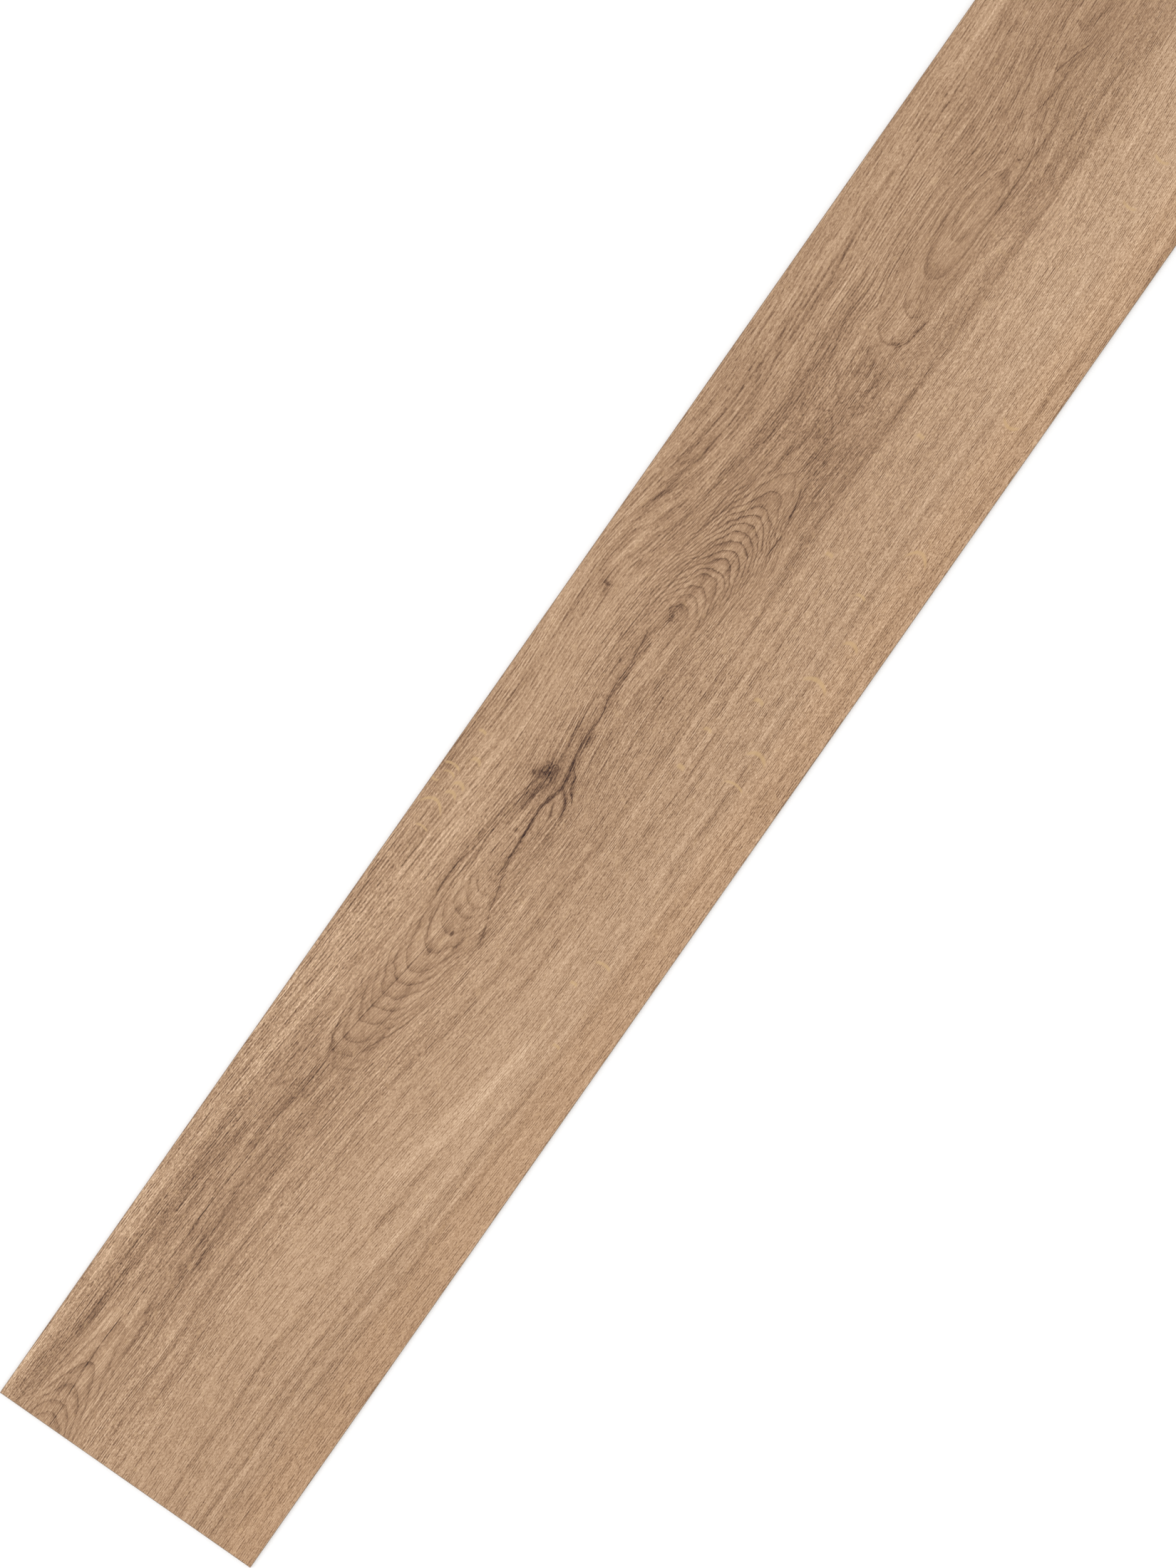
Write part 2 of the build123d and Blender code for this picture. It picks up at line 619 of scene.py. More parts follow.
    HEART = Heart(
        line=(
            (0, 33.5), (30, 34), (55, 36), (125, 37.5), (200, 41), (284, 48), (320, 52), (350, 57),
            (390, 63), (430, 66), (490, 68), (520, 64), (560, 60), (600, 62), (634, 66.5), (650, 69),
            (666, 71.5), (690, 71.5), (760, 76), (800, 75.5), (824, 74.5), (845, 76), (870, 73),
            (898, 72.5), (925, 73), (952, 75.5), (1018, 64.5), (1100, 62), (1219, 58),
        ),
        count=(
            (-20, 6), (8.2, 8), (16.7, 9), (28.8, 10), (46.8, 11), (77, 12), (125, 13), (170, 13.5),
            (230, 13.5), (284, 13), (294, 12), (308, 11), (320, 10), (329, 9), (340.5, 8), (350, 7),
            (366, 6), (381, 5), (394, 4), (403, 3), (413, 2), (422, 1), (445, 0.3), (500, 0.1),
            (560, 0.1), (605, 0.3), (625, 1), (632.6, 2), (640, 3), (649.5, 4), (653.6, 5), (662.2, 6),
            (669, 7), (675.5, 8), (682, 9), (687.8, 10), (694, 11), (700.4, 12), (713.3, 13), (728, 14),
            (750, 14.2), (790, 11), (824.5, 9), (845, 8), (871, 7), (898, 6), (925, 5.2), (952, 6),
            (985, 8.2), (1003, 8.7), (1018, 8), (1045, 6), (1080, 5), (1219, 8),
        ),
        upper_squeeze=(
            (0, 0.7), (40, 0.62), (70, 0.45), (110, 0.45), (284, 0.75), (310, 0.78), (330, 0.65),
            (350, 0.45), (393, 0.42), (425, 1), (600, 1.1), (650, 1.15), (690, 0.85), (720, 0.8),
            (800, 0.35), (830, 0.2), (850, 0.4), (900, 0.5), (930, 0.8), (1219, 0.8),
        ),
        lower_squeeze=(
            (0, 0.55), (30, 0.45), (50, 0.6), (70, 0.45), (110, 0.5), (284, 0.35), (307, 0.35),
            (323, 0.28), (349, 0.46), (400, 0.7), (560, 0.6), (645, 0.55), (690, 0.7), (720, 0.7),
            (800, 0.35), (830, 0.2), (860, 0.22), (890, 0.28), (915, 0.65), (940, 0.75), (1219, 0.8),
        ),
        upper_far=(
            (0, 35), (110, 35), (150, 37), (200, 41.5), (250, 45), (283, 47.5), (330, 51), (400, 55),
            (460, 58), (500, 60), (520, 60.6), (540, 60.3), (580, 58.3), (610, 57.3), (625, 57.6),
            (640, 59.5), (660, 63), (680, 66), (700, 68.3), (740, 70.8), (780, 71.2), (820, 70.2),
            (900, 67.2), (1000, 64), (1219, 58),
        ),
        lower_far=(
            (0, 35), (40, 34.6), (80, 34.2), (120, 34.6), (160, 37), (200, 40.3), (240, 44), (280, 48),
            (320, 52), (360, 55.5), (400, 57.5), (440, 58), (520, 58.8), (560, 59.1), (600, 58.8),
            (640, 57.8), (680, 57), (780, 56), (860, 56), (900, 55.5), (940, 54), (980, 51.6),
            (1020, 48.5), (1100, 42), (1219, 34),
        ),
    )

    FAINT_RINGS = 0.16
    RING_PATCHES = (
        RingPatch(0.9, 0.8, (20, 35), (85, 26)),
        RingPatch(0.85, 0.7, (350, 56), (85, 28)),
        RingPatch(1.25, 0.15, (672, 68), (60, 32)),
        RingPatch(1.5, 0.3, (656, 67), (22, 8)),
        RingPatch(0.45, 0.3, (600, 64), (60, 28)),
        RingPatch(0.6, 0.8, (894, 74), (72, 26)),
        RingPatch(0.4, 0.8, (1030, 66), (50, 22)),
    )

    CHECKS = (
        # Along the heart, from the shown end to the main check and past it
        Check(0.7, ((0, 35.7, 0.25), (20, 35.3, 0.3), (30, 33.9, 0.3), (45, 33.3, 0.3), (79, 33.6, 0.3))),
        Check(0.65, (
            (82, 36, 0.3), (105, 36.4, 0.3), (137, 38.2, 0.3), (176, 38.7, 0.3), (200, 40.4, 0.3),
            (232, 41.7, 0.3), (249, 44.2, 0.3), (270, 46, 0.3), (285, 46.2, 0.3), (300, 47.7, 0.3),
            (320, 50, 0.3), (340, 53, 0.3), (360, 55.7, 0.3), (400, 58.4, 0.25),
        )),
        Check(0.45, (
            (385, 85, 0.3), (388, 81.5, 0.35), (394, 80, 0.35), (402, 77.5, 0.3), (408, 75, 0.3),
            (417, 73, 0.3), (428, 70, 0.3), (441, 67, 0.4),
        )),
        Check(0.85, (
            (434, 67, 0.5), (450, 66.2, 0.75), (460, 65.5, 0.8), (470, 65, 0.9), (476, 65, 0.9),
            (484, 66.8, 0.8), (491, 68.6, 0.9), (497, 68.3, 0.9), (505, 66.2, 0.8), (513, 64.3, 0.7),
        )),
        Check(0.65, (
            (506, 65.8, 0.7), (515, 64, 0.7), (530, 63.1, 0.6), (544, 62.8, 0.4), (550, 60.9, 0.35),
            (560, 59.4, 0.3), (577, 59.5, 0.4), (588, 58.3, 0.4), (599, 57, 0.4),
        )),
        # Side cracks of the main check
        Check(0.7, ((475, 63.8, 0.4), (482, 64.8, 0.5), (488, 67, 0.5), (493, 68.6, 0.5))),
        Check(0.65, (
            (462, 77.6, 0.4), (474, 77.9, 0.45), (481, 77.3, 0.5), (486.5, 75.3, 0.7), (490, 72, 0.7),
            (491.5, 70, 0.5),
        )),
        Check(0.75, (
            (486, 79.5, 0.4), (490, 78, 0.5), (492.5, 75.5, 0.9), (496, 72.8, 0.8), (499, 72, 0.4),
            (503, 71.6, 0.35), (504.5, 69, 0.35), (507, 67.8, 0.35),
        )),
        Check(0.65, ((459, 72.4, 0.25), (470, 72.5, 0.3), (476, 71.8, 0.6), (481, 69.8, 0.6))),
        Check(0.35, ((503, 75.5, 0.35), (514, 74, 0.35), (530, 73, 0.3), (560, 72.3, 0.3))),
        # Hard edges of rings on both sides of the main check
        Check(0.55, (
            (372, 54, 0.4), (376, 51.5, 0.4), (382, 50, 0.5), (400, 47.5, 0.5), (410, 47, 0.5),
            (430, 49, 0.5), (450, 48.7, 0.5), (470, 51, 0.5), (482, 53.5, 0.5),
        )),
        Check(0.5, (
            (398, 43, 0.4), (410, 42.3, 0.5), (420, 42.8, 0.5), (430, 45, 0.5), (450, 46, 0.5),
            (470, 48.5, 0.6), (490, 53.5, 0.6),
        )),
        Check(0.35, ((470, 55, 0.4), (480, 57, 0.6), (490, 60.5, 0.6))),
        Check(0.4, ((504, 58.2, 0.5), (515, 56.8, 0.5), (525, 55, 0.5), (540, 51.5, 0.4))),
        Check(0.5, ((570, 46.7, 0.3), (580, 45.3, 0.3), (600, 43.8, 0.3))),
        Check(0.5, ((512, 82, 0.35), (535, 80, 0.35), (560, 78.5, 0.35), (584, 77.3, 0.35))),
        Check(0.45, (
            (282, 44.5, 0.5), (292, 41, 0.5), (300, 39, 0.4), (310, 37.6, 0.4), (325, 36.7, 0.4),
            (352, 35.7, 0.3),
        )),
        Check(0.4, ((296, 61.5, 0.4), (305, 66, 0.4), (318, 71.5, 0.4), (342, 77.5, 0.3))),
        # Round the second cathedral
        Check(0.4, ((640, 43, 0.4), (660, 47, 0.4), (680, 51, 0.4), (716, 58, 0.4))),
        Check(0.35, ((602, 47, 0.4), (625, 48, 0.4), (645, 52, 0.4), (660, 57, 0.4), (692, 63.5, 0.4))),
        Check(0.5, ((628, 28, 0.4), (655, 33, 0.4), (674, 38, 0.4))),
        Check(0.6, ((648, 75, 0.3), (660, 75, 0.35), (670, 75, 0.3))),
        Check(0.7, ((678, 89.4, 0.4), (686, 89.7, 0.5), (695, 90.3, 0.4))),
        Check(0.7, ((699, 88.2, 0.4), (710, 87, 0.5), (722, 84, 0.4))),
        # Far cathedral and beyond
        Check(0.6, ((838, 57.8, 0.4), (851, 55, 0.4), (861, 52.8, 0.4), (876, 51.8, 0.4))),
        Check(0.6, ((825, 81, 0.4), (831, 84.6, 0.5), (840, 86.5, 0.5), (850, 88, 0.4))),
        Check(0.15, (
            (897, 72.8, 0.5), (904, 67.5, 0.4), (915, 65.7, 0.4), (930, 66, 0.4), (942, 69, 0.4),
            (953, 74, 0.5),
        )),
        Check(0.15, (
            (897, 73.4, 0.5), (905, 79, 0.4), (920, 81, 0.4), (935, 80.5, 0.4), (945, 78, 0.4),
            (953, 75, 0.5),
        )),
        Check(0.35, ((928, 84.2, 0.4), (950, 84, 0.4), (970, 83.4, 0.4), (994, 83, 0.3))),
        Check(0.3, (
            (903, 93, 0.4), (915, 95, 0.4), (930, 96.5, 0.4), (950, 94.2, 0.4), (990, 95.5, 0.5),
            (1045, 97.2, 0.5),
        )),
        Check(0.6, ((1016, 64.3, 0.5), (1024, 62.2, 0.4), (1036, 60.5, 0.4))),
        Check(0.6, ((1016, 64.8, 0.5), (1028, 67.5, 0.4), (1042, 72.4, 0.4))),
        Check(0.5, ((983, 67.7, 0.4), (995, 69.5, 0.4), (1006, 71.4, 0.4))),
    )

    KNOTS = (
        Knot(-52, (497.2, 56.6), (6.8, 6.0)),
        Knot(-85, (383, 64.5), (2.4, 1.0)),
        Knot(-52, (456.2, 60.2), (1.7, 1.2)),
        Knot(-40, (569, 62), (2.2, 1.2)),
        Knot(-45, (575.5, 53.2), (1.6, 1.0)),
        Knot(-58, (609.3, 20), (1.7, 2.7)),
        Knot(-42, (490.5, 48.8), (2.2, 1.6)),
    )

    # Spots that are stippled with dark grains, such as the eye of the second cathedral
    PEPPER = (
        Knot(-58, (617.5, 63.6), (7.5, 5.0)),
        Knot(-40, (645, 66), (4.0, 2.6)),
        Knot(-40, (392, 80.5), (5.0, 2.2)),
        Knot(-26, (379, 71), (6.0, 2.4)),
        Knot(-30, (366, 58), (3.0, 5.0)),
    )

    FLECKS = (
        BowedStroke((439, 10), 9.5, 9.0, 1.3),
        BowedStroke((425, 12.8), 5.0, 1.5, 0.8),
        BowedStroke((454, 2), 4.0, -2.0, 0.9),
        BowedStroke((461, 8), 4.6, 2.2, 0.9),
        BowedStroke((466, 7), 6.2, 2.4, 1.0),
        BowedStroke((451, 16), 4.5, 3.5, 1.5),
        BowedStroke((458, 17), 4.5, 3.5, 1.6),
        BowedStroke((476, 17), 4.0, 3.0, 1.6),
        BowedStroke((493, 10), 3.0, 1.0),
        BowedStroke((363, 155), 3.0, 1.0),
        BowedStroke((400, 142), 3.0, 1.0),
        BowedStroke((419, 150.5), 6.0, 2.0),
        BowedStroke((544, 120), 3.0, 0.6, 1.8),
        BowedStroke((571.5, 120.5), 3.2, 1.4, 1.4),
        BowedStroke((553, 153), 7.5, 2.6, 1.0),
        BowedStroke((574.5, 154.5), 8.0, 5.5, 1.6),
        BowedStroke((631, 158), 10.0, 6.0, 1.7),
        BowedStroke((603, 136), 4.0, 2.0, 1.6),
        BowedStroke((662, 162.5), 6.0, 4.0, 1.6),
        BowedStroke((728, 165), 8.5, 9.0, 1.6),
        BowedStroke((690, 150), 4.0, 1.6),
        BowedStroke((827, 164.5), 6.5, -4.0, 1.4),
        BowedStroke((700, 120), 3.0, 1.0, 1.6),
        BowedStroke((790, 124), 3.0, 1.0, 1.6),
        BowedStroke((976, 147.5), 5.5, -2.0),
        BowedStroke((1010, 147.5), 6.0, -2.4),
    )

    # Soft dark arches, as (levels, bowed stroke)
    ARCHES = (
        (-20, BowedStroke((830, 74), 12.5, -12.0, 1.1)),
        (-17, BowedStroke((852, 77), 9.5, -14.0, 1.0)),
        (-10, BowedStroke((880, 73), 11.0, -20.0, 0.9)),
        (-13, BowedStroke((1026, 66), 7.0, -16.0, 0.8)),
        (-18, BowedStroke((288.5, 47), 6.0, -9.0, 0.9)),
        (-8, BowedStroke((43, 38), 7.0, 8.0, 0.8)),
        (-6, BowedStroke((25, 34), 11.0, 9.0, 0.8)),
    )

    # Growth rings are measured over this step, and fade out between two slopes, where they lie level
    RING_STEP = 0.4
    LEAST_SLOPE = 0.02
    FADING_SLOPES = (0.012, 0.042)
    CLEAR_RINGS = 0.5

    # Checks on one track are at least this far apart along the plank
    CHECK_GAP = 8.0

    # The emboss: a check has a shoulder on each side, and a streak this dark is pressed in to the full
    CHECK_DEPTH = 0.12
    CHECK_SHOULDER = 0.5
    STREAK_DEPTH = 0.03
    DARK_STREAK = 40.0

    def tone(self, at: Places) -> np.ndarray:
        """Brightness change from the zones, streaks and smudges, in levels."""
        marks = self.ZONES + self.STREAKS + self.SMUDGES
        return sum(mark.shade(at) for mark in marks)

    def rings(self, at: Places) -> tuple[np.ndarray, np.ndarray, np.ndarray]:
        """Reads the growth rings.

        Args:
            at: Points of the face.

        Returns:
            Columns of ring number, its slope and the rings' strength; the part of the slope along the
            plank; and the rings' softness.
        """
        number = self.HEART.number(at)
        run = (self.HEART.number(at.moved(self.RING_STEP, 0.0)) - number) / self.RING_STEP
        rise = (self.HEART.number(at.moved(0.0, self.RING_STEP)) - number) / self.RING_STEP
        slope = np.maximum(np.hypot(run, rise), self.LEAST_SLOPE)
        strength = np.full(at.along.size, self.FAINT_RINGS)
        softness = np.zeros(at.along.size)
        for patch in self.RING_PATCHES:
            cover = patch.cover(at)
            softness += patch.softness * cover
            strength = np.maximum(strength, cover)
        softness = np.clip(softness / np.maximum(strength, self.CLEAR_RINGS), 0.0, 1.0)
        level, steep = self.FADING_SLOPES
        strength *= ease((slope - level) / (steep - level))
        return np.stack([number, slope, strength], axis=1), run, softness

    def check_tracks(self) -> list[list[Check]]:
        """Shares the checks out on tracks.

        Returns: The tracks.
        """
        tracks: list[list[Check]] = []
        for check in sorted(self.CHECKS, key=lambda c: c.reach[0]):
            free = [track for track in tracks if track[-1].reach[1] + self.CHECK_GAP < check.reach[0]]
            if free:
                free[0].append(check)
            else:
                tracks.append([check])
        return tracks

    def check_layer(self, track: list[Check], at: Places) -> np.ndarray:
        """Finds a track's nearest check from each point.

        Args:
            at: Points of the face.

        Returns:
            Columns of the offset from the check, its half width and its darkness.
        """
        columns = track[0].trace(at)
        for before, check in zip(track, track[1:]):
            past = at.along > 0.5 * (before.reach[1] + check.reach[0])
            columns[past] = check.trace(at.picked(past))
        return columns

    def relief(self, at: Places) -> np.ndarray:
        """Presses the checks and the dark streaks into the face.

        Args:
            at: Points of the face.

        Returns:
            How far each point is lowered, in millimetres.
        """
        low = self.STREAK_DEPTH * ease(-self.tone(at) / self.DARK_STREAK)
        for check in self.CHECKS:
            off, half_width, dark = check.trace(at).T
            dent = np.exp(-(off / (half_width + self.CHECK_SHOULDER)) ** 2)
            low = np.maximum(low, self.CHECK_DEPTH * dark * dent)
        return low


@dataclass(frozen=True)
class Signal:
    """A number that changes over the surface. Arithmetic on it adds Math nodes to its tree."""

    bench: "NodeBench"
    socket: bpy.types.NodeSocket

    def __add__(self, other: "Term") -> "Signal":
        """Sum."""
        return self.bench.math("ADD", self, other)

    def __sub__(self, other: "Term") -> "Signal":
        """Difference."""
        return self.bench.math("SUBTRACT", self, other)

    def __mul__(self, other: "Term") -> "Signal":
        """Product."""
        return self.bench.math("MULTIPLY", self, other)

    def __truediv__(self, other: "Term") -> "Signal":
        """Quotient."""
        return self.bench.math("DIVIDE", self, other)

    def __abs__(self) -> "Signal":
        """Size without the sign."""
        return self.bench.math("ABSOLUTE", self)

    def over(self, other: "Term") -> "Signal":
        """The larger of the two."""
        return self.bench.math("MAXIMUM", self, other)

    def fraction(self) -> "Signal":
        """What is left past the last whole number."""
        return self.bench.math("FRACT", self)

    def wave(self) -> "Signal":
        """Sine of the number, in turns."""
        return self.bench.math("SINE", self * math.tau)

    def between(self, low: float, high: float) -> "Signal":
        """Low where the number is 0, and high where it is 1."""
        return self * (high - low) + low

    def rise(self, start: float, end: float) -> "Signal":
        """Takes a smooth step.

        Args:
            start: Where the step begins, at 0.
            end: Where it ends, at 1. It may be less than the start.

        Returns:
            The step.
        """
        if end < start:
            return self.bench.math("SUBTRACT", 1.0, self.rise(end, start))
        node = self.bench.put("ShaderNodeMapRange", self, start, end, interpolation_type="SMOOTHSTEP")
        return Signal(self.bench, node.outputs["Result"])


Term = Signal | float


@dataclass(frozen=True)
class NodeBench:
    """Adds nodes to an empty tree and links them, so that a recipe reads as a few lines."""

    tree: bpy.types.NodeTree

    def feed(self, socket: bpy.types.NodeSocket, value: object) -> None:
        """Fills an input.

        Args:
            socket: The input.
            value: A signal or a socket to link to it, or a plain value to write on it.
        """
        if isinstance(value, Signal):
            self.tree.links.new(value.socket, socket)
        elif isinstance(value, bpy.types.NodeSocket):
            self.tree.links.new(value, socket)
        else:
            socket.default_value = value

    def put(self, kind: str, *inputs: object, **settings: object) -> bpy.types.Node:
        """Adds a node.

        Args:
            kind: The node's type.
            inputs: Values or signals for its inputs, in their order.
            settings: Options of the node.

        Returns:
            The node.
        """
        node = self.tree.nodes.new(kind)
        for name, value in settings.items():
            setattr(node, name, value)
        for socket, value in zip(node.inputs, inputs):
            self.feed(socket, value)
        return node

    def read(self, kind: str, output: str) -> Signal:
        """Adds a node that has no inputs, and reads one of its outputs."""
        return Signal(self, self.put(kind).outputs[output])

    def math(self, operation: str, *inputs: Term) -> Signal:
        """Adds a Math node."""
        return Signal(self, self.put("ShaderNodeMath", *inputs, operation=operation).outputs[0])

    def split(self, vector: bpy.types.NodeSocket) -> tuple[Signal, ...]:
        """Takes a vector apart."""
        return tuple(Signal(self, part) for part in self.put("ShaderNodeSeparateXYZ", vector).outputs)

    def layer(self, name: str) -> bpy.types.Node:
        """Reads a mesh attribute."""
        return self.put("ShaderNodeAttribute", attribute_name=name)

    def layer_value(self, name: str) -> Signal:
        """Reads a mesh attribute that is one number."""
        return Signal(self, self.layer(name).outputs["Fac"])

    def layer_values(self, name: str) -> tuple[Signal, ...]:
        """Reads a mesh attribute that is three numbers."""
        return self.split(self.layer(name).outputs["Vector"])

    def place(self) -> tuple[Signal, ...]:
        """The point on the piece, in millimetres from its origin."""
        point = self.put("ShaderNodeTexCoord").outputs["Object"]
        return tuple(part / MM for part in self.split(point))

    def noise(self, *point: Term, detail: float, roughness: float = 0.5) -> Signal:
        """Adds noise.

        Args:
            point: Where to read it, as two or three numbers.
            detail: How many finer layers it has.
            roughness: How strong they are.

        Returns:
            The noise, from 0 to 1.
        """
        node = self.put("ShaderNodeTexNoise", noise_dimensions=f"{len(point)}D")
        self.feed(node.inputs["Vector"], self.put("ShaderNodeCombineXYZ", *point).outputs[0])
        self.feed(node.inputs["Scale"], 1.0)
        self.feed(node.inputs["Detail"], detail)
        self.feed(node.inputs["Roughness"], roughness)
        return Signal(self, node.outputs[0])

    def group(self, tree: bpy.types.NodeTree, **inputs: object) -> Signal:
        """Places a node group.

        Args:
            tree: The group.
            inputs: Values or signals for its inputs by name, with _ for a space.

        Returns:
            Its output.
        """
        node = self.put("ShaderNodeGroup", node_tree=tree)
        for name, value in inputs.items():
            self.feed(node.inputs[name.replace("_", " ")], value)
        return Signal(self, node.outputs[0])

    def mix(
        self, share: Signal, colour: bpy.types.NodeSocket, other: Rgb, blend: str = "MIX"
    ) -> bpy.types.NodeSocket:
        """Mixes a share of another colour into a colour."""
        node = self.put("ShaderNodeMixRGB", share, colour, (*other, 1.0), blend_type=blend)
        return node.outputs["Color"]

    def ramp(self, level: Signal, stops: list[tuple[float, Rgb]]) -> bpy.types.NodeSocket:
        """Adds a Color Ramp.

        Args:
            level: The signal to colour, from 0 to 1.
            stops: Positions with their screen colours, in order.

        Returns:
            The colour socket.
        """
        node = self.put("ShaderNodeValToRGB", level)
        elements = node.color_ramp.elements
        while len(elements) < len(stops):
            elements.new(1.0)
        for element, (position, colour) in zip(elements, stops):
            element.position = position
            element.color = (*linear(colour), 1.0)
        return node.outputs["Color"]

    def bump(self, height: Signal, distance: float, strength: float) -> bpy.types.NodeSocket:
        """Turns a height into a normal.

        Args:
            height: The height.
            distance: How far a height of 1 stands out, in metres.
            strength: How strongly it shows.

        Returns:
            The normal socket.
        """
        node = self.put("ShaderNodeBump")
        self.feed(node.inputs["Strength"], strength)
        self.feed(node.inputs["Distance"], distance)
        self.feed(node.inputs["Height"], height)
        return node.outputs["Normal"]


def linear(colour: Rgb) -> Rgb:
    """Turns an 8-bit screen colour into a linear one.

    Args:
        colour: Red, green and blue, from 0 to 255.

    Returns:
        The same colour as shares of light.
    """
    def channel(value: float) -> float:
        """One channel, by the rule of the sRGB standard."""
        share = value / WHITE_LEVEL
        return share / 12.92 if share <= 0.04045 else ((share + 0.055) / 1.055) ** 2.4

    red, green, blue = colour
    return channel(red), channel(green), channel(blue)


def empty_tree(owner: bpy.types.Material | bpy.types.World) -> NodeBench:
    """Empties the node tree of a material or a world.

    Args:
        owner: The material or the world.

    Returns:
        A bench for its tree.
    """
    owner.use_nodes = True
    owner.node_tree.nodes.clear()
    return NodeBench(owner.node_tree)


def open_material(name: str) -> tuple[bpy.types.Material, NodeBench, bpy.types.Node]:
    """Starts a material.

    Args:
        name: The material's name.

    Returns:
        The material, a bench for its tree and its Principled node.
    """
    material = bpy.data.materials.new(name)
    bench = empty_tree(material)
    shader = bench.put("ShaderNodeBsdfPrincipled")
    bench.put("ShaderNodeOutputMaterial", shader.outputs["BSDF"])
    return material, bench, shader


class GroupShelf:
    """Node groups that the finishes share, each built once."""

    ROW_JUMP = 31.7
    ROW_TURN = 0.37

    def __init__(self) -> None:
        """Builds the groups."""
        self.streaks = self._streaks()
        self.pores = self._pores()
        self.speckle = self._speckle()
        self.knot = self._knot()
        self.stroke = self._stroke()

    @staticmethod
    def _open(name: str, inputs: dict[str, float], output: str) -> tuple[NodeBench, dict[str, Signal]]:
        """Starts a group.

        Args:
            name: The group's name.
            inputs: Its inputs, all of them numbers, with their usual values.
            output: Its output.

        Returns:
            A bench for its tree and the signals of its inputs.
        """
        tree = bpy.data.node_groups.new(name, "ShaderNodeTree")
        for label, usual in inputs.items():
            socket = tree.interface.new_socket(label, in_out="INPUT", socket_type="NodeSocketFloat")
            socket.default_value = usual
        tree.interface.new_socket(output, in_out="OUTPUT", socket_type="NodeSocketFloat")
        bench = NodeBench(tree)
        entry = bench.put("NodeGroupInput")
        return bench, {label: Signal(bench, entry.outputs[label]) for label in inputs}

    @staticmethod
    def _close(bench: NodeBench, result: Signal) -> bpy.types.NodeTree:
        """Ends a group with its result."""
        bench.put("NodeGroupOutput", result)
        return bench.tree

    def _streaks(self) -> bpy.types.NodeTree:
        """Builds noise drawn out along the grain.

        Returns:
            The group, which puts out about -1 to 1.
        """
        inputs = {"Along": 0.0, "Across": 0.0, "Length": 10.0, "Width": 1.0, "Seed": 0.0}
        bench, given = self._open("grain_streaks", inputs, "Streak")
        along = given["Along"] / given["Length"]
        across = given["Across"] / given["Width"]
        noise = bench.noise(along, across, given["Seed"], detail=1.0)
        return self._close(bench, (noise - 0.5) * 3.0)

    def _pores(self) -> bpy.types.NodeTree:
        """Builds short dark dashes in rows along the grain.

        Returns:
            The group, which puts out 0 to 1.
        """
        inputs = {"Along": 0.0, "Across": 0.0, "Pitch": 1.3, "Dash": 5.0, "Seed": 0.0}
        bench, given = self._open("pore_rows", inputs, "Pores")
        lane = given["Across"] / given["Pitch"]
        row = bench.math("FLOOR", lane)
        along = given["Along"] / given["Dash"] + row * self.ROW_JUMP
        noise = bench.noise(along, given["Seed"] + row * self.ROW_TURN, detail=5.0, roughness=0.8)
        return self._close(bench, noise.rise(0.42, 0.6) * abs(lane.fraction() - 0.5).rise(0.34, 0.02))

    def _speckle(self) -> bpy.types.NodeTree:
        """Builds the grains of filler in plain vinyl.

        Returns:
            The group, which puts out 0 to 1.
        """
        bench, given = self._open("filler_speckle", {"X": 0.0, "Y": 0.0, "Z": 0.0, "Grain": 0.6}, "Speckle")
        point = [given[axis] / given["Grain"] for axis in "XYZ"]
        return self._close(bench, bench.noise(*point, detail=2.0).rise(0.3, 0.7))

    def _knot(self) -> bpy.types.NodeTree:
        """Builds a knot with a ragged rim and rings in it.

        Returns:
            The group, which puts out 0 to 1.
        """
        inputs = {
            "Along": 0.0, "Across": 0.0, "Centre Along": 0.0, "Centre Across": 0.0,
            "Radius Along": 2.0, "Radius Across": 1.0, "Ragged": 0.0,
        }
        bench, given = self._open("pin_knot", inputs, "Knot")
        u = (given["Along"] - given["Centre Along"]) / given["Radius Along"]
        v = (given["Across"] - given["Centre Across"]) / given["Radius Across"]
        reach = bench.math("SQRT", u * u + v * v) + given["Ragged"] * 0.35
        swirl = (reach * 2.2 + given["Ragged"] * 0.5).wave() * 0.33 + 0.67
        return self._close(bench, reach.rise(1.25, 0.45) * swirl)

    def _stroke(self) -> bpy.types.NodeTree:
        """Builds a bowed stroke across the grain.

        Returns:
            The group, which puts out 0 to 1.
        """
        inputs = {
            "Along": 0.0, "Across": 0.0, "Centre Along": 0.0, "Centre Across": 0.0,
            "Half Length": 5.0, "Bow": 1.0, "Half Width": 0.9,
        }
        bench, given = self._open("bowed_stroke", inputs, "Stroke")
        share = (given["Across"] - given["Centre Across"]) / given["Half Length"]
        bowed = given["Along"] - given["Centre Along"] + given["Bow"] * (share * share - 0.5)
        body = (abs(bowed) / given["Half Width"]).rise(1.3, 0.3)
        return self._close(bench, body * abs(share).rise(1.0, 0.6))


@dataclass(frozen=True)
class Strand:
    """Noise drawn out along the grain: how long and wide its streaks are, and its seed."""

    length: float
    width: float
    seed: float


@dataclass(frozen=True)
class Spread:
    """An area of the print: where it begins and where it is full, along the plank and across it."""

    along: Point
    across: Point


